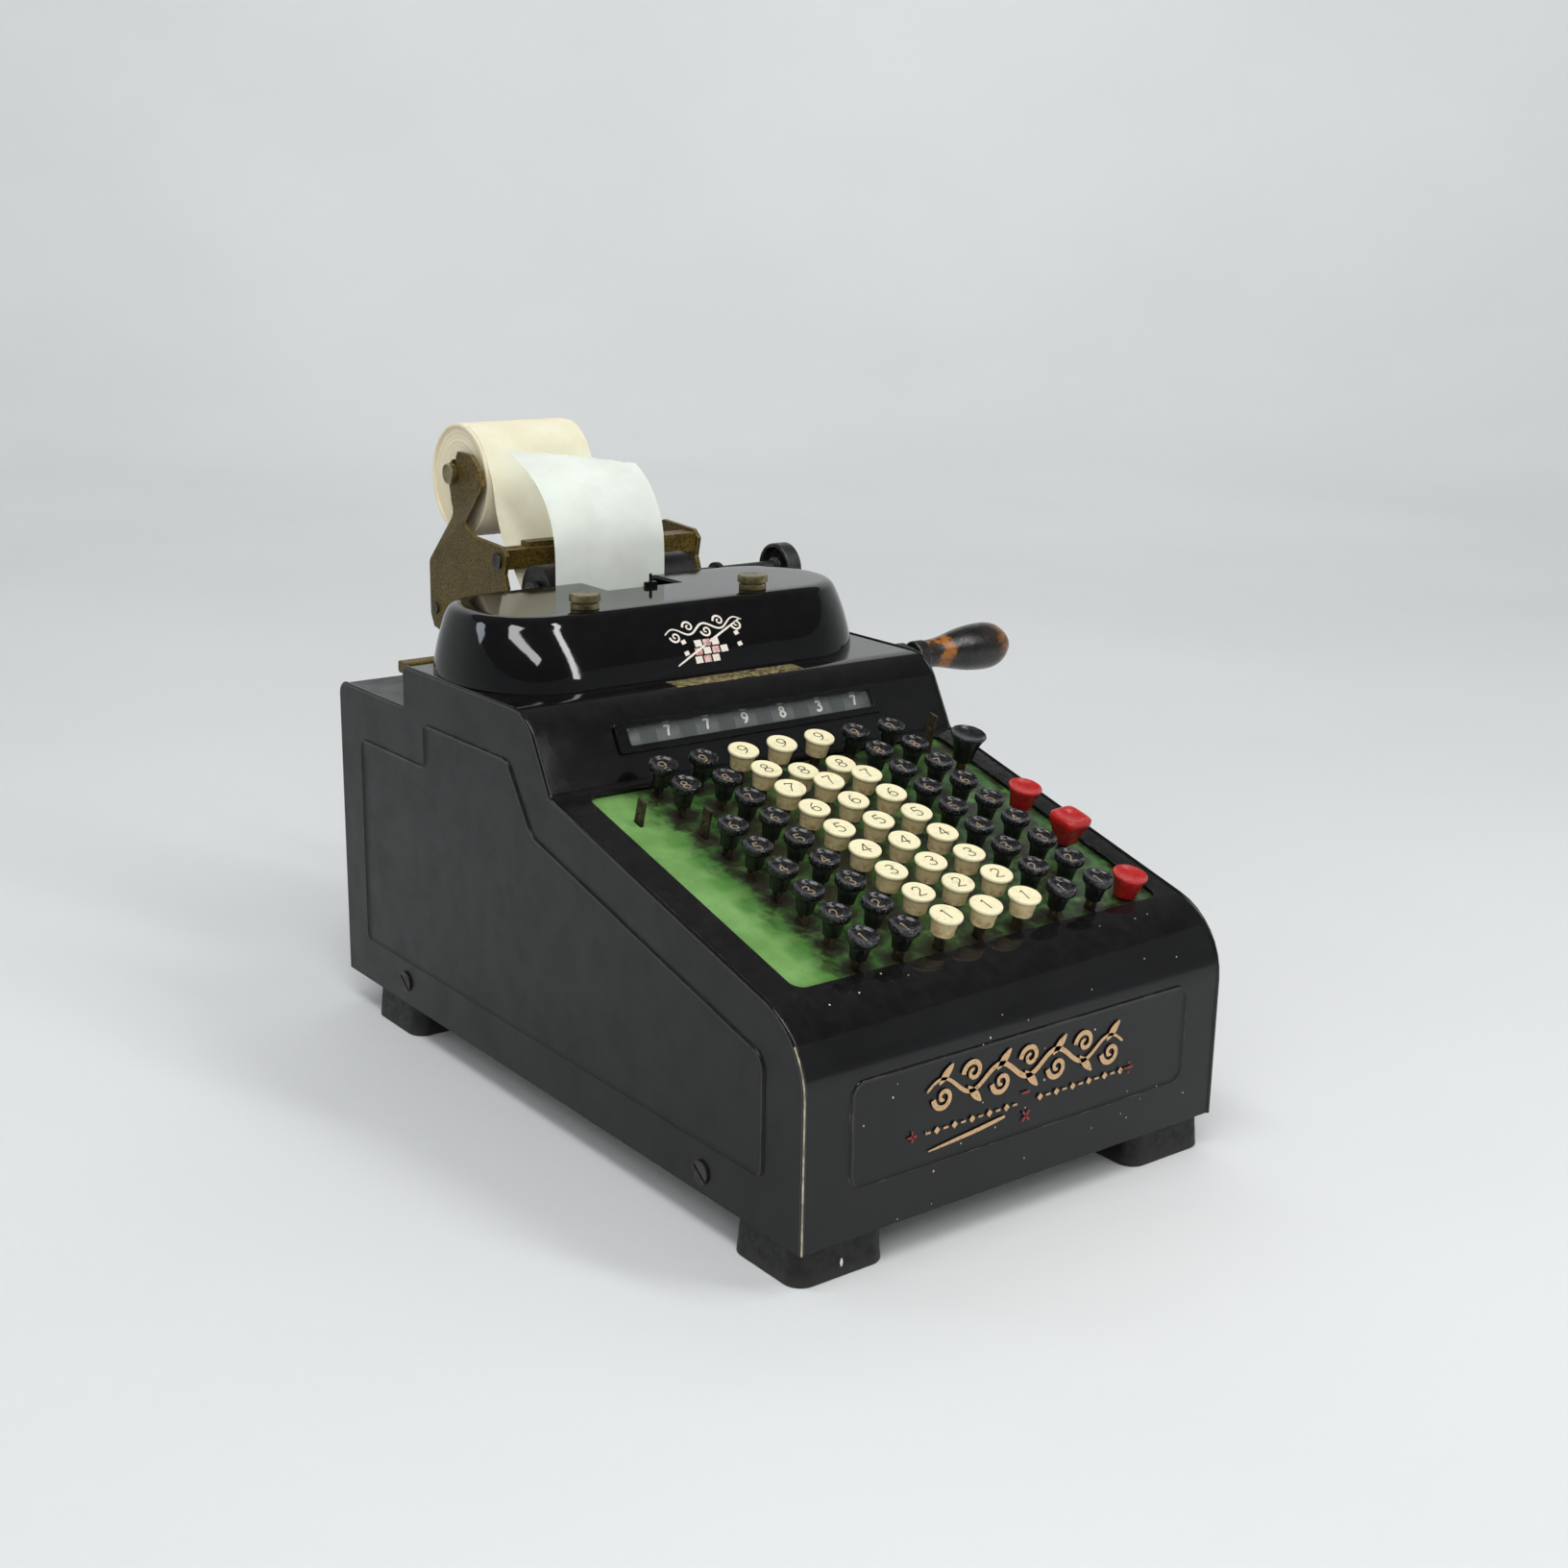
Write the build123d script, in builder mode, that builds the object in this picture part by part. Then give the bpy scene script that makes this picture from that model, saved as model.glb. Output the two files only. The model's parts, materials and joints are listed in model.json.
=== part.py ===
"""Crank-operated, full-keyboard printing adding machine.

Millimetres. +X is the operator's right, +Y runs from the front to the back,
and Z=0 is the surface that the machine stands on. The origin is the middle of
the bottom of the whole object's box, so the body's own mid-plane and front
face are offset from it by BODY_X and FRONT_Y. The body's heights are measured
from a datum that lies DATUM_Z above the standing surface.
"""
from build123d import *
from math import atan2, cos, degrees, radians, sin, tan
import os

# ---------------------------------------------------------------- driving dimensions
BODY_W = 202.4          # across the side panels
BODY_D = 336.0          # front face to back face
DATUM_Z = 1.9
FOOT_H = 12.5           # lower edge of the case, above the datum
SHEET = 1.6             # pressed steel
SLOPE = 15.32           # keyboard slope, degrees
COLUMN_PITCH = 19.05    # 3/4 inch between key columns
ROW_PITCH = 15.875      # 5/8 inch between key rows
COLUMNS = 7
ROWS = 9
KEY_TRAVEL = 4.0
PAPER_W = 57.0          # 2 1/4 inch tape
ROLL_R = 26.0
GRIP_TIP = 168.6        # end of the crank grip, from the body's mid-plane
SCREW_PROUD = 1.0       # side screw heads, out from the side panels
FIELD_DEPTH = 0.8       # raised fields pressed into the front and side panels

# Heights and depths of the side outline, before its corners are rounded
NOSE_Z = 90.9
RISER_Y = 159.0
DECK_Y, DECK_Z = 175.4, 164.2
STEP_Y, REAR_Z = 275.5, 146.4
RISER_Z = NOSE_Z + RISER_Y * tan(radians(SLOPE))
RISER_TILT = degrees(atan2(DECK_Z - RISER_Z, DECK_Y - RISER_Y))

# Axes that things turn about: (Y from the front face, Z)
CRANK_AXIS = (188.0, 78.0)
GRIP_AXIS = (199.0, 157.5)
WHEEL_AXIS = (183.7, 141.8)
SECTOR_AXIS = (235.0, 140.0)
PLATEN_AXIS = (294.0, 183.8)
SPINDLE_AXIS = (364.5, 229.6)
CORE_R = 6.0            # bore of the paper roll's core
SPINDLE_R = 2.5
ROLL_AXIS = (SPINDLE_AXIS[0], SPINDLE_AXIS[1] - (CORE_R - SPINDLE_R - 0.1))

# The object's box is set by the left screws, the grip, the front face and the roll
BODY_X = -(GRIP_TIP - BODY_W / 2 - SCREW_PROUD) / 2
FRONT_Y = -(ROLL_AXIS[0] + ROLL_R - FIELD_DEPTH) / 2

# Paper and its bracket, across the machine
PAPER_X = 4.5           # middle of the tape
BRACKET_LEFT, BRACKET_RIGHT = -29.6, 74.4
BRACKET_T = 2.0

# Key columns with caps of each colour; two keys of row 8 stay latched down
IVORY = (3, 4, 5)
BLACK = (1, 2, 6, 7)
LATCHED_ROW, LATCHED = 8, (4, 5)
BARE = (7, 1)           # row 7, column 1 has lost its cap
CAP_TOP = 13.2          # above the sloping surface
STEM_W, STEM_T = 4.6, 1.2
STEM_FOOT = -36.0
FUNCTION_X = 78.0       # the column of motor and correction keys
ROW_1_S = 5.3           # first row, up the slope from its lower end
SLOPE_START = (22.7, 97.1)


# ---------------------------------------------------------------- planes of the machine
def side_plane(x):
    """Sketch (Y, Z) seen from the right, at x from the mid-plane; normal +X."""
    return Plane(origin=(BODY_X + x, FRONT_Y, DATUM_Z), x_dir=(0, 1, 0), z_dir=(1, 0, 0))


def plan_plane(z):
    """Sketch (X, Y) seen from above at z over the datum; normal +Z."""
    return Plane(origin=(BODY_X, FRONT_Y, DATUM_Z + z), x_dir=(1, 0, 0), z_dir=(0, 0, 1))


def front_plane(y):
    """Sketch (X, Z) seen from the front at depth y; normal -Y."""
    return Plane(origin=(BODY_X, FRONT_Y + y, DATUM_Z), x_dir=(1, 0, 0), z_dir=(0, -1, 0))


def key_plane(h):
    """Sketch (X, distance up the slope) at h above the sloping surface."""
    a = radians(SLOPE)
    y, z = SLOPE_START[0] - h * sin(a), DATUM_Z + SLOPE_START[1] + h * cos(a)
    return Plane(origin=(BODY_X, FRONT_Y + y, z), x_dir=(1, 0, 0), z_dir=(0, -sin(a), cos(a)))


def riser_plane(h):
    """Sketch (X, distance up the riser from its foot) at h out from the riser."""
    a = radians(RISER_TILT)
    y, z = RISER_Y - h * sin(a), DATUM_Z + RISER_Z + h * cos(a)
    return Plane(origin=(BODY_X, FRONT_Y + y, z), x_dir=(1, 0, 0), z_dir=(0, -sin(a), cos(a)))


def column_x(column):
    return (column - (COLUMNS + 1) / 2) * COLUMN_PITCH


def row_s(row):
    return ROW_1_S + (row - 1) * ROW_PITCH


def save(builder, name):
    builder.part.label = name
    export_step(builder.part, f"parts/{name}.step")


def rod(axis, radius, x0, x1, mode=Mode.ADD):
    """A round bar along X about axis (Y, Z), from x0 to x1, inside a BuildPart."""
    with BuildSketch(side_plane(x0)) as section:
        with Locations(axis):
            Circle(radius)
    extrude(section.sketch, amount=x1 - x0, dir=(1, 0, 0), mode=mode)


# ---------------------------------------------------------------- case
def round_corners(sketch, corners):
    for y, z, radius in corners:
        nearest = sketch.vertices().sort_by(lambda v: (v.X - y) ** 2 + (v.Y - z) ** 2)[0]
        fillet(nearest, radius)


def outline(grow=0.0, bottom=FOOT_H):
    """The side outline as a flat (Y, Z) sketch, grown or shrunk all round."""
    with BuildSketch(Plane.XY) as shape:
        with BuildLine():
            Polyline((0, FOOT_H), (0, NOSE_Z), (RISER_Y, RISER_Z), (DECK_Y, DECK_Z), (STEP_Y, DECK_Z),
                     (STEP_Y, REAR_Z), (BODY_D, REAR_Z), (BODY_D, FOOT_H), close=True)
        make_face()
        round_corners(shape, [(0, NOSE_Z, 30), (RISER_Y, RISER_Z, 4), (DECK_Y, DECK_Z, 17.5),
                              (STEP_Y, DECK_Z, 3), (STEP_Y, REAR_Z, 2.5), (BODY_D, REAR_Z, 5.5)])
        if grow:
            offset(amount=grow)
        if bottom > FOOT_H:
            with Locations((BODY_D / 2, FOOT_H)):
                Rectangle(BODY_D + 20, 2 * (bottom - FOOT_H), mode=Mode.SUBTRACT)
    return shape.sketch


FULL = outline()
INNER = outline(-SHEET)


def side_panel(sign):
    """Flat pressed side with a proud rim and a raised field."""
    inner_face = sign * (BODY_W / 2 - SHEET)
    with BuildPart() as panel:
        with BuildSketch(side_plane(inner_face)):
            add(FULL)
        extrude(amount=sign * SHEET)
        with BuildSketch(side_plane(sign * BODY_W / 2)) as field:
            with BuildLine():
                Polyline((21, 32), (316, 32), (316, 125), (258, 125), (258, 143.4), (189.5, 143.4),
                         (171.5, 117), (21, 77.5), close=True)
            make_face()
            round_corners(field, [(21, 32, 4), (316, 32, 4), (316, 125, 4), (258, 125, 3), (258, 143.4, 3),
                                  (189.5, 143.4, 7), (171.5, 117, 9), (21, 77.5, 8)])
        extrude(amount=sign * FIELD_DEPTH, taper=30)
        for y, z in SIDE_SCREWS:
            rod((y, z), 2.1, -BODY_W / 2 - 2, BODY_W / 2 + 2, Mode.SUBTRACT)
        if sign > 0:
            rod(CRANK_AXIS, 7.5, 90, BODY_W / 2 + 2, Mode.SUBTRACT)
    return panel


SIDE_SCREWS = ((57.8, 20.6), (281.2, 22.6))
KEY_WINDOW = (-86.4, 90.2, 1.0, 138.0)       # x0, x1, lower and upper end on the slope
DIAL_WINDOW = (-60.0, 62.6, 14.6, 22.2)
HOOD_BACK = 277.0
HOOD_FOOT = (-2.8, 194.4, 83.0)              # middle, width and depth of the skirt's foot
HOOD_CROWN = (1.0, 184.0, 68.0)              # the same where the walls meet the top
HOOD_TOP = 191.6
POST_X, POST_Y = (-45.5, 39.5), 221.5        # thumb screws


def case_cover():
    """One bent sheet: front, keyboard slope, riser, deck and step."""
    with BuildPart() as cover:
        with BuildSketch(side_plane(-BODY_W / 2 + SHEET)):
            add(FULL)
            add(INNER, mode=Mode.SUBTRACT)
            with Locations((SHEET + 200, 10)):
                Rectangle(400, 100, mode=Mode.SUBTRACT)
            with Locations((BODY_D - 20, 100)):
                Rectangle(2 * (BODY_D - 20 - STEP_Y) + 2, 200, mode=Mode.SUBTRACT)
            with Locations((STEP_Y - 5, REAR_Z - 5)):
                Rectangle(20, 10, mode=Mode.SUBTRACT)
        extrude(amount=BODY_W - 2 * SHEET)
        with BuildSketch(front_plane(0)):
            with Locations((1, 50.5)):
                RectangleRounded(164, 40, 6)
        extrude(amount=FIELD_DEPTH, taper=30)
        cut_window(KEY_WINDOW, key_plane, 5)
        cut_window(DIAL_WINDOW, riser_plane, 1)
        with BuildSketch(plan_plane(DECK_Z - 5)):
            with Locations((-3, 238.4)):
                RectangleRounded(150, 56, 6)
        extrude(amount=10, mode=Mode.SUBTRACT)
    return cover


def cut_window(window, plane, radius):
    x0, x1, s0, s1 = window
    with BuildSketch(plane(-4)) as hole:
        with Locations(((x0 + x1) / 2, (s0 + s1) / 2)):
            RectangleRounded(x1 - x0, s1 - s0, radius)
    extrude(hole.sketch, amount=8, mode=Mode.SUBTRACT)


def rear_cover():
    """Rear deck and back as one bent sheet."""
    with BuildPart() as cover:
        with BuildSketch(side_plane(-BODY_W / 2 + SHEET)):
            add(FULL)
            add(INNER, mode=Mode.SUBTRACT)
            with Locations((STEP_Y / 2 - 30, 100)):
                Rectangle(STEP_Y + 60 + 2, 200, mode=Mode.SUBTRACT)
            with Locations((BODY_D - SHEET - 200, 10)):
                Rectangle(400, 100, mode=Mode.SUBTRACT)
        extrude(amount=BODY_W - 2 * SHEET)
        with BuildSketch(front_plane(BODY_D + 2)):
            for row in range(5):
                with Locations((0, 60 + row * 12)):
                    SlotOverall(110, 4)
        extrude(amount=6, mode=Mode.SUBTRACT)
    return cover


PAN_Z = 14.5


def base_pan():
    """Bottom plate with flanges up both sides, inside the case."""
    half = BODY_W / 2 - SHEET - 0.2
    with BuildPart() as pan:
        with BuildSketch(plan_plane(PAN_Z)):
            with Locations((0, BODY_D / 2)):
                Rectangle(2 * half, BODY_D - 2 * SHEET - 0.4)
        extrude(amount=SHEET)
        for side in (-1, 1):
            with BuildSketch(plan_plane(PAN_Z)):
                with Locations((side * (half - SHEET / 2), BODY_D / 2)):
                    Rectangle(SHEET, BODY_D - 2 * SHEET - 0.4)
            extrude(amount=14)
        for y, z in SIDE_SCREWS:
            rod((y, z), 2.1, -BODY_W / 2 - 2, BODY_W / 2 + 2, Mode.SUBTRACT)
        for x, y in FEET:
            with BuildSketch(plan_plane(PAN_Z - 1)):
                with Locations((x, y)):
                    Circle(2.1)
            extrude(amount=5, mode=Mode.SUBTRACT)
    return pan


FEET = ((-80.7, 21.4), (80.7, 21.4), (-80.7, 293.0), (80.7, 293.0))
FOOT_SIZE = (38.4, 36.8)


def feet():
    """Four flared rubber feet with a pad against the pan and a recess for the screw."""
    with BuildPart() as rubber:
        with BuildSketch(plan_plane(FOOT_H - 0.2)):
            for x, y in FEET:
                with Locations((x, y)):
                    RectangleRounded(*FOOT_SIZE, 6)
        extrude(amount=-FOOT_H + 0.2 - DATUM_Z, taper=-5)
        with BuildSketch(plan_plane(PAN_Z)):
            for x, y in FEET:
                with Locations((x, y)):
                    RectangleRounded(32, 32, 6)
        extrude(amount=-6)
        with BuildSketch(plan_plane(-DATUM_Z)):
            for x, y in FEET:
                with Locations((x, y)):
                    Circle(6)
        extrude(amount=6 + DATUM_Z, mode=Mode.SUBTRACT)
        with BuildSketch(plan_plane(0)):
            for x, y in FEET:
                with Locations((x, y)):
                    Circle(2.1)
        extrude(amount=PAN_Z + 1, mode=Mode.SUBTRACT)
    return rubber


def case_screws():
    """Slotted screws: four up through the feet, four in through the side panels."""
    with BuildPart() as screws:
        with BuildSketch(plan_plane(3.4)):
            for x, y in FEET:
                with Locations((x, y)):
                    Circle(4.5)
        extrude(amount=2.6)
        with BuildSketch(plan_plane(6.0)):
            for x, y in FEET:
                with Locations((x, y)):
                    Circle(2.0)
        extrude(amount=14)
        with BuildSketch(plan_plane(3.4)):
            for x, y in FEET:
                with Locations((x, y)):
                    Rectangle(10, 1.2)
        extrude(amount=1.2, mode=Mode.SUBTRACT)
        for side in (-1, 1):
            for y, z in SIDE_SCREWS:
                rod((y, z), 2.0, side * BODY_W / 2, side * (BODY_W / 2 - 6))
                rod((y, z), 4.6, side * BODY_W / 2, side * (BODY_W / 2 + SCREW_PROUD))
        for side in (-1, 1):
            for y, z in SIDE_SCREWS:
                with BuildSketch(side_plane(side * (BODY_W / 2 + 0.4))):
                    with Locations((y, z)):
                        Rectangle(12, 1.2, rotation=35)
                extrude(amount=side * 2, mode=Mode.SUBTRACT)
    return screws


# ---------------------------------------------------------------- hood
def hood_plan(z, middle, width, depth, inset=0.0):
    """Plan of the hood at height z: a straight front and back with full, rounded ends."""
    half, deep = width / 2 - inset, depth - 2 * inset
    radius = deep / 2
    centre = HOOD_BACK - inset - radius
    left, right = middle - half, middle + half
    full = radius * 0.93                     # the left end is squarer than a half circle
    with BuildSketch(plan_plane(z)) as plan:
        with BuildLine():
            Line((right - radius, centre + radius), (left + full, centre + radius))
            Spline((left + full, centre + radius), (left + full * 0.24, centre + radius * 0.74), (left, centre),
                   tangents=((-1, 0), (0, -1)))
            Spline((left, centre), (left + full * 0.24, centre - radius * 0.74), (left + full, centre - radius),
                   tangents=((0, -1), (1, 0)))
            Line((left + full, centre - radius), (right - radius, centre - radius))
            ThreePointArc((right - radius, centre - radius), (right, centre), (right - radius, centre + radius))
        make_face()
    return plan.sketch


def hood():
    """Pressed cover of the printing head, hollow, open behind and notched over the platen."""
    with BuildPart() as shell:
        loft([hood_plan(DECK_Z, *HOOD_FOOT), hood_plan(HOOD_TOP, *HOOD_CROWN)])
        fillet(shell.faces().sort_by(Axis.Z)[-1].edges(), 4)
        inner = hood_plan(DECK_Z - 0.01, *HOOD_FOOT, SHEET)
        ceiling = hood_plan(HOOD_TOP - SHEET, *HOOD_CROWN, SHEET + 1)
        loft([inner, ceiling], mode=Mode.SUBTRACT)
        with BuildSketch(plan_plane(DECK_Z + 6)):
            with Locations((3.5, HOOD_BACK - 27 + 20)):
                Rectangle(39, 40)
        extrude(amount=40, mode=Mode.SUBTRACT)
        with BuildSketch(plan_plane(DECK_Z + 6)):
            with Locations((PAPER_X, HOOD_BACK)):
                Rectangle(PAPER_W + 10, 12)
        extrude(amount=14, mode=Mode.SUBTRACT)
        with BuildSketch(plan_plane(DECK_Z)):
            for x in POST_X:
                with Locations((x, POST_Y)):
                    Circle(2.15)
        extrude(amount=40, mode=Mode.SUBTRACT)
    return shell


STAY_Z = 152.0


def thumb_screw(x):
    with BuildPart() as screw:
        for z0, z1, radius in ((HOOD_TOP - 12, HOOD_TOP, 2.0), (HOOD_TOP, HOOD_TOP + 2.4, 5.9),
                               (HOOD_TOP + 2.4, HOOD_TOP + 3.1, 4.9), (HOOD_TOP + 3.1, HOOD_TOP + 6.2, 6.5)):
            with BuildSketch(plan_plane(z0)):
                with Locations((x, POST_Y)):
                    Circle(radius)
            extrude(amount=z1 - z0)
        fillet(screw.edges().filter_by(GeomType.CIRCLE).group_by(Axis.Z)[-1], 0.5)
    return screw


# ---------------------------------------------------------------- inner frame
FRAME_X = 91.0          # outer faces of the two inner frame plates
FRAME_T = 2.4


def inner_frames():
    """Two steel plates that carry the shafts, with a stay and the hood's threaded posts."""
    with BuildPart() as frames:
        for side in (-1, 1):
            with BuildSketch(side_plane(side * FRAME_X)):
                with BuildLine():
                    Polyline((12, PAN_Z + SHEET), (12, 50), (60, 78), (150, 108), (166, 132), (182, 152),
                             (262, 152), (270, 132), (326, 132), (326, PAN_Z + SHEET), close=True)
                make_face()
                with Locations((75, 42), (250, 70)):
                    SlotOverall(70, 26, mode=Mode.SUBTRACT)
                with Locations(CRANK_AXIS):
                    Circle(5.05, mode=Mode.SUBTRACT)
                with Locations(SECTOR_AXIS):
                    Circle(4.0, mode=Mode.SUBTRACT)
                with Locations(WHEEL_AXIS):
                    Circle(3.0, mode=Mode.SUBTRACT)
            extrude(amount=-side * FRAME_T)
        with BuildSketch(plan_plane(STAY_Z)):
            with Locations((0, POST_Y)):
                Rectangle(2 * FRAME_X, 14)
        extrude(amount=-3)
        for x in POST_X:
            with BuildSketch(plan_plane(STAY_Z)):
                with Locations((x, POST_Y)):
                    Circle(4.5)
            extrude(amount=HOOD_TOP - SHEET - STAY_Z)
            with BuildSketch(plan_plane(HOOD_TOP - 20)):
                with Locations((x, POST_Y)):
                    Circle(2.05)
            extrude(amount=30, mode=Mode.SUBTRACT)
    return frames


def cross_shafts():
    """Fixed shafts of the number wheels and the type sectors."""
    with BuildPart() as shafts:
        rod(WHEEL_AXIS, 3.0, -FRAME_X - 2, FRAME_X + 2)
        rod(SECTOR_AXIS, 4.0, -FRAME_X - 2, FRAME_X + 2)
    return shafts


WHEEL_R = 14.0


def number_wheels():
    """Seven dials on one shaft, one behind each key column."""
    with BuildPart() as wheels:
        for column in range(1, COLUMNS + 1):
            x = column_x(column)
            rod(WHEEL_AXIS, WHEEL_R, x - 5.5, x + 5.5)
            rod(WHEEL_AXIS, 5.5, x - 8.5, x + 8.5)
        rod(WHEEL_AXIS, 3.06, -FRAME_X, FRAME_X, Mode.SUBTRACT)
    return wheels


def type_sectors():
    """Seven toothed type sectors that swing up to the platen."""
    with BuildPart() as sectors:
        for column in range(1, COLUMNS + 1):
            x = column_x(column)
            with BuildSketch(side_plane(x - 1)) as blade:
                with Locations(SECTOR_AXIS):
                    Circle(7)
                with BuildLine():
                    arc_r = 35.0
                    y0, z0 = SECTOR_AXIS
                    a, b = radians(-14), radians(36)
                    start = (y0 + arc_r * cos(a), z0 + arc_r * sin(a))
                    middle = (y0 + arc_r * cos((a + b) / 2), z0 + arc_r * sin((a + b) / 2))
                    end = (y0 + arc_r * cos(b), z0 + arc_r * sin(b))
                    Line((y0, z0), start)
                    ThreePointArc(start, middle, end)
                    Line(end, (y0, z0))
                make_face()
            extrude(amount=2)
        rod(SECTOR_AXIS, 4.06, -FRAME_X, FRAME_X, Mode.SUBTRACT)
    return sectors


# ---------------------------------------------------------------- keyboard
def stem_places():
    places = [(column_x(c), row_s(r)) for r in range(1, ROWS + 1) for c in range(1, COLUMNS + 1)]
    places.append(ZERO_STEM)
    places.extend((FUNCTION_X, s) for s in (FRONT_RED_S, SQUARE_RED_S, BACK_RED_S, BIG_BLACK_S, BARE_STEM_S))
    return places


ZERO_STEM = (column_x(0), row_s(8))
FRONT_RED_S, SQUARE_RED_S, BACK_RED_S, BIG_BLACK_S, BARE_STEM_S = 7.6, 43.6, 70.5, 107.9, 130.0


def slotted_plate(h, thickness, x0, x1, s0, s1):
    """A flat plate along the slope with a slot for every key stem."""
    with BuildPart() as plate:
        with BuildSketch(key_plane(h)):
            with Locations(((x0 + x1) / 2, (s0 + s1) / 2)):
                Rectangle(x1 - x0, s1 - s0)
            for x, s in stem_places():
                with Locations((x, s)):
                    Rectangle(STEM_T + 0.8, STEM_W + 0.8, mode=Mode.SUBTRACT)
        extrude(amount=-thickness)
    return plate


def key_plate():
    return slotted_plate(-SHEET, 1.2, -93, 97, -0.6, 139.6)


def stem_guide():
    """Lower plate that keeps the stems upright, between the frame plates."""
    return slotted_plate(-26, 1.2, -FRAME_X + FRAME_T, FRAME_X - FRAME_T, -2, 138)


def turned_cap(profile, dish):
    """A dished key cap turned from (radius, height) points, with a pocket for the stem."""
    with BuildPart() as cap:
        with BuildSketch(Plane.XZ):
            with BuildLine():
                Polyline((0, profile[0][1]), *profile, (0, profile[-1][1] - dish), close=True)
            make_face()
        revolve(axis=Axis.Z)
        with BuildSketch(Plane.XY.offset(profile[0][1])):
            Rectangle(STEM_T, STEM_W)
        extrude(amount=STEM_GRIP, mode=Mode.SUBTRACT)
    return cap.part


STEM_GRIP = 4.0
IVORY_CAP = turned_cap([(4.4, -8.2), (4.7, -5.0), (5.2, -2.2), (6.1, -1.4), (6.25, -0.9), (6.25, -0.2), (6.0, 0)], 0.4)
BLACK_CAP = turned_cap([(3.3, -10.0), (4.0, -6.0), (4.85, -3.0), (5.8, -0.8), (5.8, -0.2), (5.4, 0)], 1.2)
BIG_BLACK_CAP = turned_cap([(4.0, -12.5), (4.6, -7.0), (6.0, -3.0), (7.6, -0.9), (7.6, -0.2), (7.1, 0)], 1.2)
ROUND_RED_CAP = turned_cap([(4.4, -9.5), (5.0, -5.0), (6.2, -1.5), (6.9, -0.6), (6.9, -0.2), (6.4, 0)], 1.2)


def square_cap():
    with BuildPart() as cap:
        with BuildSketch(Plane.XY):
            RectangleRounded(13.4, 13.4, 3)
        extrude(amount=-3)
        with BuildSketch(Plane.XY.offset(-3)):
            RectangleRounded(13.4, 13.4, 3)
        with BuildSketch(Plane.XY.offset(-12)):
            RectangleRounded(8, 9, 3)
        loft()
        with BuildSketch(Plane.XY):
            Circle(4.6)
        extrude(amount=-1.0, taper=25, mode=Mode.SUBTRACT)
        with BuildSketch(Plane.XY.offset(-12)):
            Rectangle(STEM_T, STEM_W)
        extrude(amount=STEM_GRIP, mode=Mode.SUBTRACT)
    return cap.part


SQUARE_RED_CAP = square_cap()
IVORY_DEPTH, BLACK_DEPTH, BIG_DEPTH, RED_DEPTH, SQUARE_DEPTH = 8.2, 10.0, 12.5, 9.5, 12.0


def cap_row(row, columns, top):
    """The caps of one digit row: ivory in the middle columns, black at the sides."""
    with BuildPart() as caps:
        for column in columns:
            if (row, column) == BARE:
                continue
            shape = IVORY_CAP if column in IVORY else BLACK_CAP
            with Locations(key_plane(top).location * Location((column_x(column), row_s(row), 0))):
                add(shape)
    return caps


def stem_row(row, columns, top):
    """Flat stems of one digit row, each with a cross hole near its upper end."""
    with BuildPart() as stems:
        for column in columns:
            depth = IVORY_DEPTH if column in IVORY else BLACK_DEPTH
            upper = top - depth + STEM_GRIP
            if (row, column) == BARE:
                upper = top - 3
            add_stem(column_x(column), row_s(row), upper, top - CAP_TOP)
    return stems


def add_stem(x, s, upper, lowered=0.0):
    """A flat stem down from height upper, with a cross hole under its cap."""
    with BuildSketch(key_plane(upper)) as section:
        with Locations((x, s)):
            Rectangle(STEM_T, STEM_W)
    extrude(section.sketch, amount=-(upper - STEM_FOOT - lowered))
    a = radians(SLOPE)
    hole = upper - STEM_GRIP - 2.2
    y = SLOPE_START[0] + s * cos(a) - hole * sin(a)
    z = SLOPE_START[1] + s * sin(a) + hole * cos(a)
    rod((y, z), 0.9, x - 2, x + 2, Mode.SUBTRACT)


def function_key(shape, depth, s, top, lowered=0.0):
    """A motor or correction key: its cap and its stem."""
    with BuildPart() as key:
        add_stem(FUNCTION_X, s, top - depth + STEM_GRIP, lowered)
        with Locations(key_plane(top).location * Location((FUNCTION_X, s, 0))):
            add(shape)
    return key


def single_stem(x, s, upper, lowered=0.0):
    with BuildPart() as stem:
        add_stem(x, s, upper, lowered)
    return stem


# ---------------------------------------------------------------- register window
def window_bezel():
    x0, x1, s0, s1 = DIAL_WINDOW
    with BuildPart() as bezel:
        with BuildSketch(riser_plane(0)):
            with Locations(((x0 + x1) / 2, (s0 + s1) / 2 - 0.3)):
                RectangleRounded(x1 - x0 + 11, s1 - s0 + 5, 2)
            with Locations(((x0 + x1) / 2, (s0 + s1) / 2)):
                RectangleRounded(x1 - x0, s1 - s0, 1, mode=Mode.SUBTRACT)
        extrude(amount=1.4)
    return bezel


def window_glass():
    x0, x1, s0, s1 = DIAL_WINDOW
    with BuildPart() as glass:
        with BuildSketch(riser_plane(-0.2)):
            with Locations(((x0 + x1) / 2, (s0 + s1) / 2)):
                RectangleRounded(x1 - x0, s1 - s0, 1)
        extrude(amount=-1.0)
    return glass


# ---------------------------------------------------------------- crank
ARM_X = BODY_W / 2 + 2.6
ARM_T = 4.0


def crank_shaft():
    with BuildPart() as shaft:
        rod(CRANK_AXIS, 5.0, 40, ARM_X + ARM_T + 1)
        rod(CRANK_AXIS, 11, 80, 86)
    return shaft


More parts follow.
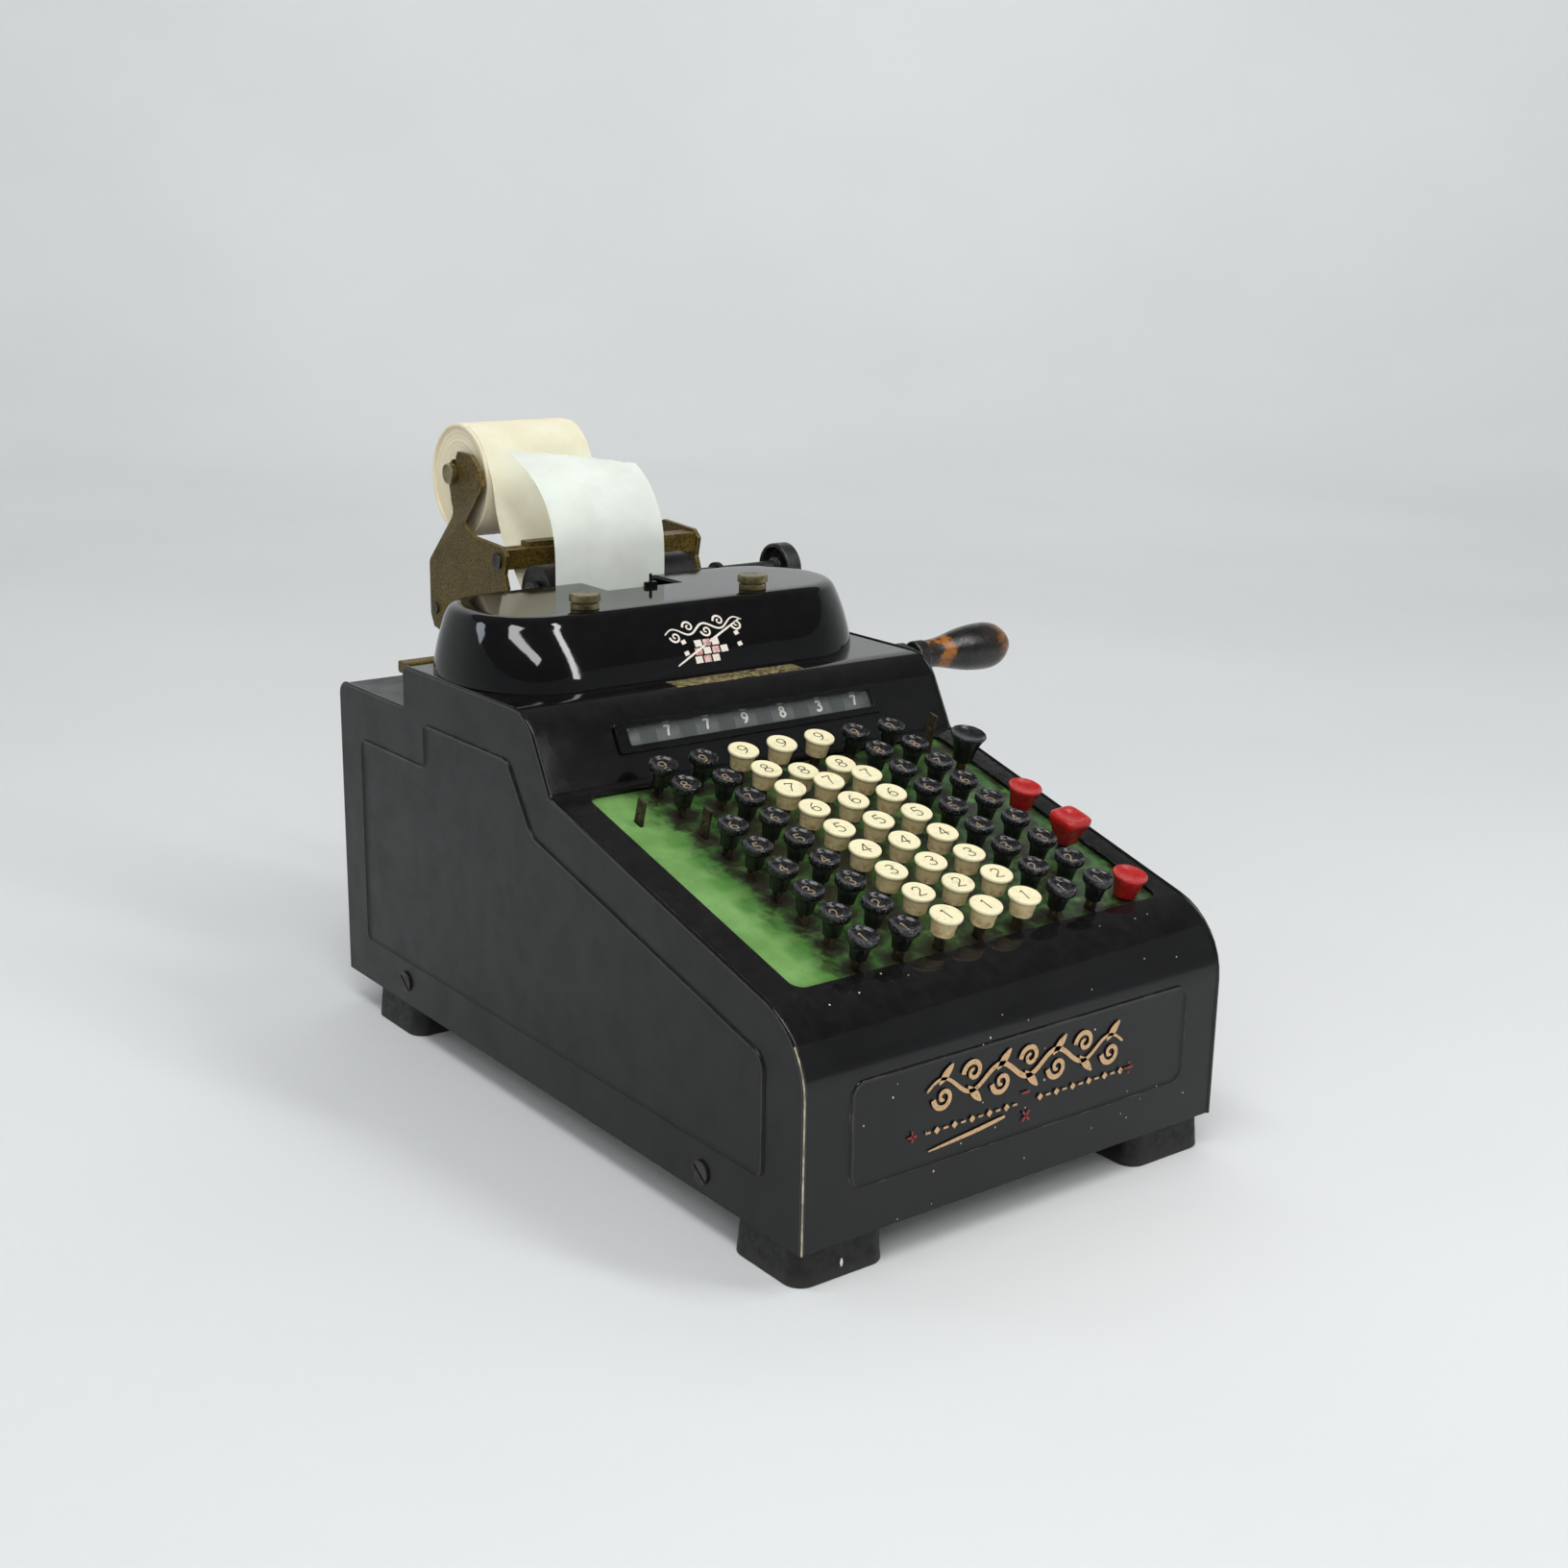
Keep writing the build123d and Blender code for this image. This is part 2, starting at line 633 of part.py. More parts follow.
def crank_arm():
    y0, z0 = CRANK_AXIS
    y1, z1 = GRIP_AXIS
    with BuildPart() as arm:
        with BuildSketch(side_plane(ARM_X)):
            with BuildLine():
                across = 7.0
                Polyline((y0 - across, z0), (y1 - 5.5, z1), (y1 + 5.5, z1), (y0 + across, z0), close=True)
            make_face()
            with Locations(CRANK_AXIS):
                Circle(12)
            with Locations(GRIP_AXIS):
                Circle(6.5)
        extrude(amount=ARM_T)
        rod(CRANK_AXIS, 5.0, ARM_X - 1, ARM_X + ARM_T + 1, Mode.SUBTRACT)
        rod(GRIP_AXIS, 3.0, ARM_X - 1, ARM_X + ARM_T + 1, Mode.SUBTRACT)
    return arm


def grip_spindle():
    with BuildPart() as spindle:
        rod(GRIP_AXIS, 3.0, ARM_X, GRIP_TIP - 10)
        rod(GRIP_AXIS, 4.5, ARM_X + ARM_T, ARM_X + ARM_T + 4)
    return spindle


FERRULE_X0, FERRULE_X1 = 112.6, 119.0


def grip_ferrule():
    with BuildPart() as ferrule:
        rod(GRIP_AXIS, 6.6, FERRULE_X0, FERRULE_X1)
        rod(GRIP_AXIS, 3.1, FERRULE_X0 - 1, FERRULE_X1 + 1, Mode.SUBTRACT)
    return ferrule


def grip():
    """Turned wooden handle, waisted behind the ferrule and full towards the tip."""
    y, z = GRIP_AXIS
    with BuildPart() as handle:
        with BuildSketch(Plane(origin=(BODY_X, FRONT_Y + y, DATUM_Z + z), x_dir=(1, 0, 0), z_dir=(0, -1, 0))):
            with BuildLine():
                Line((FERRULE_X1, 0), (FERRULE_X1, 6.2))
                Spline((FERRULE_X1, 6.2), (124, 6.4), (131, 7.5), (142, 9.8), (152, 10.7), (161.6, 9.2),
                       (167.2, 4.9), (GRIP_TIP, 0), tangents=((1, 0), (0, -1)))
                Line((GRIP_TIP, 0), (FERRULE_X1, 0))
            make_face()
        revolve(axis=Axis((BODY_X, FRONT_Y + y, DATUM_Z + z), (1, 0, 0)))
        rod(GRIP_AXIS, 3.1, FERRULE_X1 - 1, GRIP_TIP - 9.5, Mode.SUBTRACT)
    return handle


# ---------------------------------------------------------------- paper carriage
SPINDLE_END = 42.0      # the spindle ends in the inner arm
INNER_ARM = 37.0
FOOT_CORNERS = [(383, 162, 3), (383, 186, 4), (315, 202.5, 2)]
ARM_CORNERS = [(358, 212, 6), (352, 241.5, 3), (341, 240.5, 5), (330, 234, 4), (329.5, 222, 6), (343.5, 208.5, 2)]


def bracket_outline(front, arm):
    """Side plate of the roll holder: a broad foot, with or without the front lobe and the hooked arm."""
    y, z = SPINDLE_AXIS
    points = [(331, REAR_Z), (380, 156), (383, 162), (383, 186)]
    if arm:
        points += [(358, 212), (y + 2, z - 9), (y + 4.6, z - 1), (y + 3, z + 5), (352, 241.5), (341, 240.5),
                   (330, 234), (329.5, 222), (343.5, 208.5)]
    if front:
        points += [(340, 204), (315, 202.5), (311, 199), (313, 190), (306, 172), (300, 168), (300, REAR_Z)]
    else:
        points += [(338, 200), (331, 180)]
    with BuildSketch(Plane.XY) as plate:
        with BuildLine():
            Polyline(*points, close=True)
        make_face()
        corners = [c for c in FOOT_CORNERS + ARM_CORNERS if (arm or c[1] < 203) and (front or c[0] > 320)]
        round_corners(plate, corners)
        if arm:
            with Locations((y, z)):
                Circle(SPINDLE_R, mode=Mode.SUBTRACT)
            with Locations((y - 1.5, z + 8)):
                Rectangle(3.2, 16, rotation=10, mode=Mode.SUBTRACT)
        if front:
            with Locations((318, 196)):
                Circle(2.5, mode=Mode.SUBTRACT)
        with Locations((377, 165)):
            Circle(2.5, mode=Mode.SUBTRACT)
    return plate.sketch


def roll_bracket(x, arm):
    """An outer cheek; the one without an arm comes with the inner arm that holds the spindle's other end."""
    with BuildPart() as plate:
        with BuildSketch(side_plane(x - BRACKET_T / 2)):
            add(bracket_outline(True, arm))
        extrude(amount=BRACKET_T)
        if not arm:
            with BuildSketch(side_plane(INNER_ARM - BRACKET_T / 2)):
                add(bracket_outline(False, True))
            extrude(amount=BRACKET_T)
    return plate


def between_brackets():
    return BRACKET_LEFT + BRACKET_T / 2, BRACKET_RIGHT - BRACKET_T / 2


def cross_bar():
    """Angle strip between the bracket plates that guides the tape."""
    x0, x1 = between_brackets()
    with BuildPart() as bar:
        with BuildSketch(side_plane(x0)):
            with BuildLine():
                Polyline((312.5, 192.5), (314.3, 192.5), (314.3, 199.4), (323, 199.4), (323, 201.2),
                         (312.5, 201.2), close=True)
            make_face()
        extrude(amount=x1 - x0)
        with BuildSketch(plan_plane(201.2)):
            with Locations((x0 + 22, 319)):
                RectangleRounded(20, 7, 1)
        extrude(amount=2.4)
        with BuildSketch(plan_plane(195)):
            with Locations((x0 + 6, 318)):
                SlotOverall(7, 2.4)
        extrude(amount=10, mode=Mode.SUBTRACT)
    return bar


def bracket_screws():
    """Screws at the front of the plates and a tie rod at the back."""
    with BuildPart() as screws:
        rod((377, 165), 2.5, BRACKET_LEFT - BRACKET_T / 2 - 1.2, BRACKET_RIGHT + BRACKET_T / 2 + 1.2)
        for side, x in ((-1, BRACKET_LEFT), (1, BRACKET_RIGHT)):
            rod((318, 196), 2.5, x - side * 1.0, x + side * 2.2)
            rod((318, 196), 3.6, x + side * BRACKET_T / 2, x + side * 2.2)
    return screws


def roll_spindle():
    with BuildPart() as spindle:
        rod(SPINDLE_AXIS, SPINDLE_R, BRACKET_LEFT - 5, SPINDLE_END)
        rod(SPINDLE_AXIS, 4.8, BRACKET_LEFT - 5, BRACKET_LEFT - 2)
        rod(SPINDLE_AXIS, 4.8, SPINDLE_END - 3, SPINDLE_END)
    return spindle


def paper_roll():
    with BuildPart() as roll:
        rod(ROLL_AXIS, ROLL_R, PAPER_X - PAPER_W / 2, PAPER_X + PAPER_W / 2)
        rod(ROLL_AXIS, CORE_R, -60, 60, Mode.SUBTRACT)
    return roll


PAPER_T = 0.3
WRAP_R = 13.5 + 0.5


def paper_tape():
    """The web: from the roll, under the platen, up through the hood and curling back."""
    y, z = PLATEN_AXIS
    steep = radians(49)                      # the web's slope where it runs down to the platen
    touch = (y + WRAP_R * sin(steep), z - WRAP_R * cos(steep))
    under = (touch[0] - (touch[1] - z + WRAP_R) / tan(steep), z - WRAP_R)
    bend = (331.5, touch[1] + (331.5 - touch[0]) * tan(steep))
    front = y - WRAP_R
    with BuildPart() as tape:
        with BuildSketch(side_plane(PAPER_X - PAPER_W / 2)):
            with BuildLine():
                FilletPolyline((353, 254.4), (335.5, 252), bend, under, (front, under[1]), (front, 231),
                               (322, 244), radius=[14, 20, WRAP_R, WRAP_R, 40])
            trace(line_width=PAPER_T)
        extrude(amount=PAPER_W)
    return tape


PLATEN_R = 13.0
PLATEN_END = 52.0


def platen():
    x0, x1 = between_brackets()
    with BuildPart() as roller:
        rod(PLATEN_AXIS, PLATEN_R, x0 + 3.4, PLATEN_END)
        rod(PLATEN_AXIS, 4.0, x0, x1, Mode.SUBTRACT)
    return roller


KNOB_X0, KNOB_X1 = 105.6, 113.6


def platen_knob():
    """Platen shaft with its rimmed hand knob."""
    with BuildPart() as knob:
        rod(PLATEN_AXIS, 4.0, BRACKET_LEFT + 0.5, KNOB_X1 - 1)
        rod(PLATEN_AXIS, 12.0, KNOB_X0, KNOB_X1)
        with BuildSketch(side_plane(KNOB_X0)):
            with Locations(PLATEN_AXIS):
                Circle(10.2)
                Circle(5.5, mode=Mode.SUBTRACT)
        extrude(amount=5.5, mode=Mode.SUBTRACT)
    return knob


def platen_brackets():
    """Two dark cheeks that hold the platen shaft above the rear deck."""
    x0, x1 = between_brackets()
    y, z = PLATEN_AXIS
    with BuildPart() as cheeks:
        for start in (x0, x1 - 2.4):
            with BuildSketch(side_plane(start)):
                with BuildLine():
                    Polyline((y - 6, REAR_Z), (y - 6, z), (y + 6, z), (y + 34, 160), (y + 34, REAR_Z), close=True)
                make_face()
                with Locations((y, z)):
                    Circle(6)
                with Locations((y, z)):
                    Circle(4.05, mode=Mode.SUBTRACT)
            extrude(amount=2.4)
    return cheeks


def carriage_rail():
    """Bronze bar behind the deck, on two blocks that stand on the rear deck."""
    with BuildPart() as rail:
        with BuildSketch(side_plane(-98)):
            with Locations((281.5, 162)):
                RectangleRounded(8, 5, 1.2)
        extrude(amount=196)
        for x in (-90, 90):
            with BuildSketch(plan_plane(REAR_Z)):
                with Locations((x, 281.5)):
                    Rectangle(8, 6)
            extrude(amount=14)
    return rail


# ---------------------------------------------------------------- build everything
LATCH_DROP = 4.0


def main():
    os.makedirs("parts", exist_ok=True)
    pieces = {
        "side_panel_left": side_panel(-1), "side_panel_right": side_panel(1), "case_cover": case_cover(),
        "rear_cover": rear_cover(), "base_pan": base_pan(), "feet": feet(), "case_screws": case_screws(),
        "hood": hood(),
        "thumb_screw_left": thumb_screw(POST_X[0]), "thumb_screw_right": thumb_screw(POST_X[1]),
        "inner_frames": inner_frames(), "cross_shafts": cross_shafts(), "number_wheels": number_wheels(),
        "type_sectors": type_sectors(),
        "key_plate": key_plate(), "stem_guide": stem_guide(),
        "window_bezel": window_bezel(), "window_glass": window_glass(),
        "crank_shaft": crank_shaft(), "crank_arm": crank_arm(), "grip_spindle": grip_spindle(),
        "grip_ferrule": grip_ferrule(), "grip": grip(),
        "roll_bracket_left": roll_bracket(BRACKET_LEFT, True),
        "roll_bracket_right": roll_bracket(BRACKET_RIGHT, False),
        "cross_bar": cross_bar(), "bracket_screws": bracket_screws(), "roll_spindle": roll_spindle(),
        "paper_roll": paper_roll(), "paper_tape": paper_tape(), "platen": platen(),
        "platen_knob": platen_knob(), "platen_brackets": platen_brackets(), "carriage_rail": carriage_rail(),
    }
    for row in range(1, ROWS + 1):
        columns = [c for c in range(1, COLUMNS + 1) if row != LATCHED_ROW or c not in LATCHED]
        pieces[f"caps_row_{row}"] = cap_row(row, columns, CAP_TOP)
        pieces[f"stems_row_{row}"] = stem_row(row, columns, CAP_TOP)
    pieces["caps_latched"] = cap_row(LATCHED_ROW, LATCHED, CAP_TOP - LATCH_DROP)
    pieces["stems_latched"] = stem_row(LATCHED_ROW, LATCHED, CAP_TOP - LATCH_DROP)
    pieces["key_front_red"] = function_key(ROUND_RED_CAP, RED_DEPTH, FRONT_RED_S, 8.6, LATCH_DROP)
    pieces["key_square_red"] = function_key(SQUARE_RED_CAP, SQUARE_DEPTH, SQUARE_RED_S, 14.7)
    pieces["key_back_red"] = function_key(ROUND_RED_CAP, RED_DEPTH, BACK_RED_S, 13.2)
    pieces["key_big_black"] = function_key(BIG_BLACK_CAP, BIG_DEPTH, BIG_BLACK_S, 18.0)
    pieces["stem_zero"] = single_stem(*ZERO_STEM, 8.5)
    pieces["stem_back"] = single_stem(FUNCTION_X, BARE_STEM_S, 15.3)
    for name, piece in pieces.items():
        save(piece, name)


if __name__ == "__main__":
    main()
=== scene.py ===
"""Looks of the adding machine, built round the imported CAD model, in metres and in the part's own frame."""
import json
import math
import random
from contextlib import contextmanager

import bmesh
import bpy
from mathutils import Matrix, Vector, noise
from mathutils.bvhtree import BVHTree

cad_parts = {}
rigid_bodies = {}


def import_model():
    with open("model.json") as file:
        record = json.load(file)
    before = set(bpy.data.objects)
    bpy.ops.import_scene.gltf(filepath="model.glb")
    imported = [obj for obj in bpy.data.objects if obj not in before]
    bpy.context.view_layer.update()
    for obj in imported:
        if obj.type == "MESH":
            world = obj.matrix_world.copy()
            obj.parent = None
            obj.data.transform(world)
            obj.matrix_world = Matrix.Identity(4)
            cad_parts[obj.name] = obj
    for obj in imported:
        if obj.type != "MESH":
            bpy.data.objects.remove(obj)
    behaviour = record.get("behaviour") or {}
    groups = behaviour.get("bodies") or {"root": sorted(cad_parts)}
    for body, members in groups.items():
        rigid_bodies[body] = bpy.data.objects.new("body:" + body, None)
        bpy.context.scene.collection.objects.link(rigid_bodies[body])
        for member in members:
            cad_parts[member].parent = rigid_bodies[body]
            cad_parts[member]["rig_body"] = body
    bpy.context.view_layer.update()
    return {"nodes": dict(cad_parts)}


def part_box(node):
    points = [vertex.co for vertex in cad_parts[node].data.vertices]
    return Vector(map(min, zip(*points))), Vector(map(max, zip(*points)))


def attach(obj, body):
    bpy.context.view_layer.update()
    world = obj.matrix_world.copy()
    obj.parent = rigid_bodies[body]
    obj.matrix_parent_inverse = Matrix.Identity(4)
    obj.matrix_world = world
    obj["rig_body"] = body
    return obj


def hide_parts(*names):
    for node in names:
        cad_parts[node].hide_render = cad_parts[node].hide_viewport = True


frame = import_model()
nodes = frame["nodes"]
random.seed(7)

# ------------------------------------------------------------------ the machine's own directions
# Numbers without a unit are millimetres, up to the point where they meet MM.
MM = 0.001
SLOPE = math.radians(15.32)     # of the keyboard
COLUMN_PITCH, ROW_PITCH = 19.05, 15.875
FIRST_ROW = 5.3                 # row 1, up the slope
FIELD = 0.8                     # how far the pressed fields stand out
LIFT = 1.9                      # the datum's height over the floor
DECK_Z = 164.2                  # top of the deck that the hood stands on
case_low, case_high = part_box("case_cover")
MID_X = (case_low.x + case_high.x) / 2
FRONT_Y = case_low.y + FIELD * MM
UP_SLOPE = Vector((0, math.cos(SLOPE), math.sin(SLOPE)))
OFF_SLOPE = Vector((0, -math.sin(SLOPE), math.cos(SLOPE)))


def at(x, y, z):
    """A point from millimetres: across from the mid-plane, back from the front face, up from the datum."""
    return Vector((MID_X + x * MM, FRONT_Y + y * MM, (z + LIFT) * MM))


SLOPE_START = at(0, 22.7, 97.1)


def on_slope(x, s, h, turn=0.0, tip=(0.0, 0.0)):
    """The placing of a piece whose +Z stands on the keyboard slope."""
    across = Vector((1, 0, 0))
    origin = SLOPE_START + across * x * MM + UP_SLOPE * s * MM + OFF_SLOPE * h * MM
    axes = Matrix((across, UP_SLOPE, OFF_SLOPE)).transposed().to_4x4()
    spin = Matrix.Rotation(turn, 4, "Z") @ Matrix.Rotation(tip[0], 4, "X") @ Matrix.Rotation(tip[1], 4, "Y")
    return Matrix.Translation(origin) @ axes @ spin


def column_x(column):
    return (column - 4) * COLUMN_PITCH


def row_s(row):
    return FIRST_ROW + (row - 1) * ROW_PITCH


# ------------------------------------------------------------------ camera
CAMERA_TURN = -37.523, 15.551, 1.021            # degrees: azimuth, elevation and roll, solved from the photograph
CAMERA_SPOT, CAMERA_LENS = (-495.478, -500.012, 354.15), 48.287


def make_camera():
    azimuth, elevation, roll = (math.radians(v) for v in CAMERA_TURN)
    back = Vector((math.sin(azimuth) * math.cos(elevation), -math.cos(azimuth) * math.cos(elevation),
                   math.sin(elevation)))
    right = Vector((0, 0, 1)).cross(back).normalized()
    up = back.cross(right)
    across = math.cos(roll) * right + math.sin(roll) * up
    upward = -math.sin(roll) * right + math.cos(roll) * up
    data = bpy.data.cameras.new("camera")
    data.sensor_width, data.lens = 36.0, CAMERA_LENS
    data.clip_start, data.clip_end = 0.02, 40.0
    camera = bpy.data.objects.new("camera", data)
    bpy.context.scene.collection.objects.link(camera)
    turn = Matrix((across, upward, back)).transposed().to_4x4()
    camera.matrix_world = Matrix.Translation(at(*CAMERA_SPOT)) @ turn
    bpy.context.scene.camera = camera


make_camera()


def link(name, mesh):
    made = bpy.data.objects.new(name, mesh)
    bpy.context.scene.collection.objects.link(made)
    return made


def srgb(r, g, b):
    """Linear colour from display values out of 255."""
    parts = [v / 255 for v in (r, g, b)]
    return tuple(v / 12.92 if v <= 0.04045 else ((v + 0.055) / 1.055) ** 2.4 for v in parts) + (1.0,)


# ------------------------------------------------------------------ materials
class Graph:
    """One material's node tree, with a short call for each kind of node."""

    def __init__(self, name):
        self.material = bpy.data.materials.new(name)
        self.material.use_nodes = True
        self.tree = self.material.node_tree
        self.tree.nodes.clear()
        place = self.node("TexCoord")
        self.place = place.outputs["Object"]
        self.facing = place.outputs["Normal"]

    def node(self, kind, inputs=None, **settings):
        made = self.tree.nodes.new("ShaderNode" + kind)
        for key, value in settings.items():
            setattr(made, key, value)
        for key, value in (inputs or {}).items():
            if isinstance(value, bpy.types.NodeSocket):
                self.tree.links.new(value, made.inputs[key])
            else:
                made.inputs[key].default_value = value
        return made

    def math(self, operation, a, b=0.0):
        return self.node("Math", {0: a, 1: b}, operation=operation).outputs[0]

    def times(self, a, b):
        return self.math("MULTIPLY", a, b)

    def plus(self, a, b):
        return self.math("ADD", a, b)

    def minus(self, a, b):
        return self.math("SUBTRACT", a, b)

    def noise(self, scale, detail=3.0, roughness=0.5, warp=0.0, stretch=None):
        place = self.place
        if stretch:
            place = self.node("Mapping", {"Vector": place, "Scale": stretch}).outputs[0]
        return self.node("TexNoise", {"Vector": place, "Scale": scale, "Detail": detail, "Roughness": roughness,
                                      "Distortion": warp}).outputs[0]

    def ramp(self, value, low, high, start=0.0, end=1.0):
        return self.node("MapRange", {0: value, 1: low, 2: high, 3: start, 4: end},
                         interpolation_type="SMOOTHSTEP").outputs[0]

    def patches(self, scale, detail, roughness, *limits):
        """Noise put through a ramp."""
        return self.ramp(self.noise(scale, detail, roughness), *limits)

    def mix(self, share, a, b):
        return self.node("Mix", {0: share, 6: a, 7: b}, data_type="RGBA").outputs[2]

    def axis(self, which, vector=None):
        return self.node("SeparateXYZ", {0: vector or self.place}).outputs[which]

    def stored(self, name):
        return self.node("Attribute", attribute_name=name).outputs["Fac"]

    def specks(self, scale, size, share):
        """Scattered dots: 1 inside a dot. share is the part of the cells that have one."""
        cell = self.node("TexVoronoi", {"Vector": self.place, "Scale": scale})
        near = self.math("LESS_THAN", cell.outputs["Distance"], size * scale)
        picked = self.math("LESS_THAN", self.axis(0, cell.outputs["Color"]), share)
        return self.times(near, picked)

    def bump(self, height, distance):
        return self.node("Bump", {"Height": height, "Distance": distance, "Strength": 1.0}).outputs[0]

    def finish(self, colour, roughness, normal=None, **more):
        inputs = {"Base Color": colour, "Roughness": roughness}
        if normal:
            inputs["Normal"] = normal
        inputs.update({key.replace("_", " "): value for key, value in more.items()})
        shader = self.node("BsdfPrincipled", inputs)
        self.tree.links.new(shader.outputs[0], self.node("OutputMaterial").inputs[0])
        return self.material


def painted(name, colour, gloss, grain, dust, wear, specks=0.0, zone=None, shine=0.5):
    """Enamel over steel: grain, dust on what faces up, pale specks, and bare metal along worn edges.

    zone = (low, high, extra) makes the paint duller below a height, by extra roughness.
    """
    g = Graph(name)
    cloud = g.patches(38, 5, 0.6, 0.3, 0.72)
    deep = tuple(c * 0.45 for c in colour[:3]) + (1,)
    tint = g.mix(cloud, deep, colour)
    upward = g.ramp(g.axis(2, g.facing), 0.15, 0.95)
    film = g.times(upward, g.patches(180, 5, 0.7, 0.3, 0.8, 0.25, 1.0))
    tint = g.mix(g.times(film, dust), tint, srgb(150, 146, 138))
    edge = g.times(g.stored("edge"), g.patches(160, 5, 0.7, 0.5, 0.62))
    tint = g.mix(edge, tint, wear)
    if specks:
        dots = g.math("MAXIMUM", g.specks(85, 0.00024, specks), g.specks(33, 0.00042, specks * 0.5))
        tint = g.mix(dots, tint, srgb(215, 210, 200))
    rough = g.patches(70, 4, 0.6, 0.25, 0.8, gloss * 0.82, gloss * 1.25)
    rough = g.plus(rough, g.times(film, dust * 1.2))
    if zone:
        low, high, extra = zone
        rough = g.plus(rough, g.ramp(g.axis(2), low, high, extra, 0.0))
    height = g.plus(g.times(g.noise(1900, 2, 0.5), grain), g.times(g.noise(260, 3, 0.5), 0.3))
    return g.finish(tint, rough, g.bump(height, 0.00006), Specular_IOR_Level=shine)


def metal(name, colour, stain, rough, metallic, grain=0.5):
    """Stained metal, paler along its edges."""
    g = Graph(name)
    spread = g.patches(140, 5, 0.65, 0.35, 0.7)
    tint = g.mix(spread, colour, stain)
    tint = g.mix(g.times(g.stored("edge"), g.patches(240, 4, 0.6, 0.42, 0.6)), tint,
                 tuple(min(1, c * 2.2) for c in colour[:3]) + (1,))
    uneven = g.patches(320, 4, 0.6, 0.3, 0.8, rough * 0.8, rough * 1.3)
    height = g.times(g.noise(1500, 3, 0.6), grain)
    return g.finish(tint, uneven, g.bump(height, 0.00008), Metallic=metallic)


def wrinkle(name):
    """Fine wrinkle enamel of the paper bracket."""
    g = Graph(name)
    tint = g.mix(g.patches(1100, 4, 0.8, 0.36, 0.64), srgb(40, 32, 8), srgb(122, 101, 40))
    tint = g.mix(g.times(g.patches(60, 5, 0.65, 0.35, 0.75), 0.65), tint, srgb(58, 48, 20))
    upward = g.ramp(g.axis(2, g.facing), 0.3, 0.95)
    tint = g.mix(g.times(upward, 0.3), tint, srgb(140, 124, 84))
    worn = g.times(g.stored("edge"), g.patches(200, 4, 0.6, 0.3, 0.55))
    tint = g.mix(worn, tint, srgb(150, 134, 98))
    rough = g.patches(900, 3, 0.6, 0.3, 0.7, 0.34, 0.5)
    return g.finish(tint, rough, g.bump(g.noise(1500, 4, 0.7, 0.6), 0.00026), Metallic=0.1,
                    Specular_IOR_Level=0.2)


def key_plastic(name, top, side, grime, rough, rim=None):
    """Moulded cap: the barrel darker than the top by height, partly painted shade and partly grime, grime in the lower
    part, scuffs on the dished top.
    """
    g = Graph(name)
    depth = g.stored("depth")
    # top colour over a darker barrel: painted shade, partly grime
    tint = g.mix(g.ramp(depth, 0.12, 0.3), top, side)
    patchy = g.patches(420, 5, 0.7, 0.35, 0.7)
    tint = g.mix(g.times(g.ramp(depth, 0.25, 0.9), g.times(patchy, 0.75)), tint, grime)
    tint = g.mix(g.times(g.patches(260, 4, 0.6, 0.5, 0.75), 0.22), tint, grime)
    tint = g.mix(g.specks(420, 0.00022, 0.12), tint, grime)
    if rim:
        scuff = g.ramp(g.noise(900, 5, 0.75, stretch=(1, 2.2, 1)), 0.5, 0.68)
        tint = g.mix(g.times(g.stored("scuff"), scuff), tint, rim)
    uneven = g.patches(500, 4, 0.6, 0.3, 0.8, rough * 0.75, rough * 1.4)
    return g.finish(tint, uneven, g.bump(g.noise(1300, 4, 0.7), 0.00005 if rim else 0.00004))


def ink(name, colour, under, worn):
    """Printed mark that has partly rubbed off to what is under it."""
    g = Graph(name)
    left = g.patches(700, 5, 0.75, worn - 0.06, worn + 0.06)
    return g.finish(g.mix(left, under, colour), 0.5)


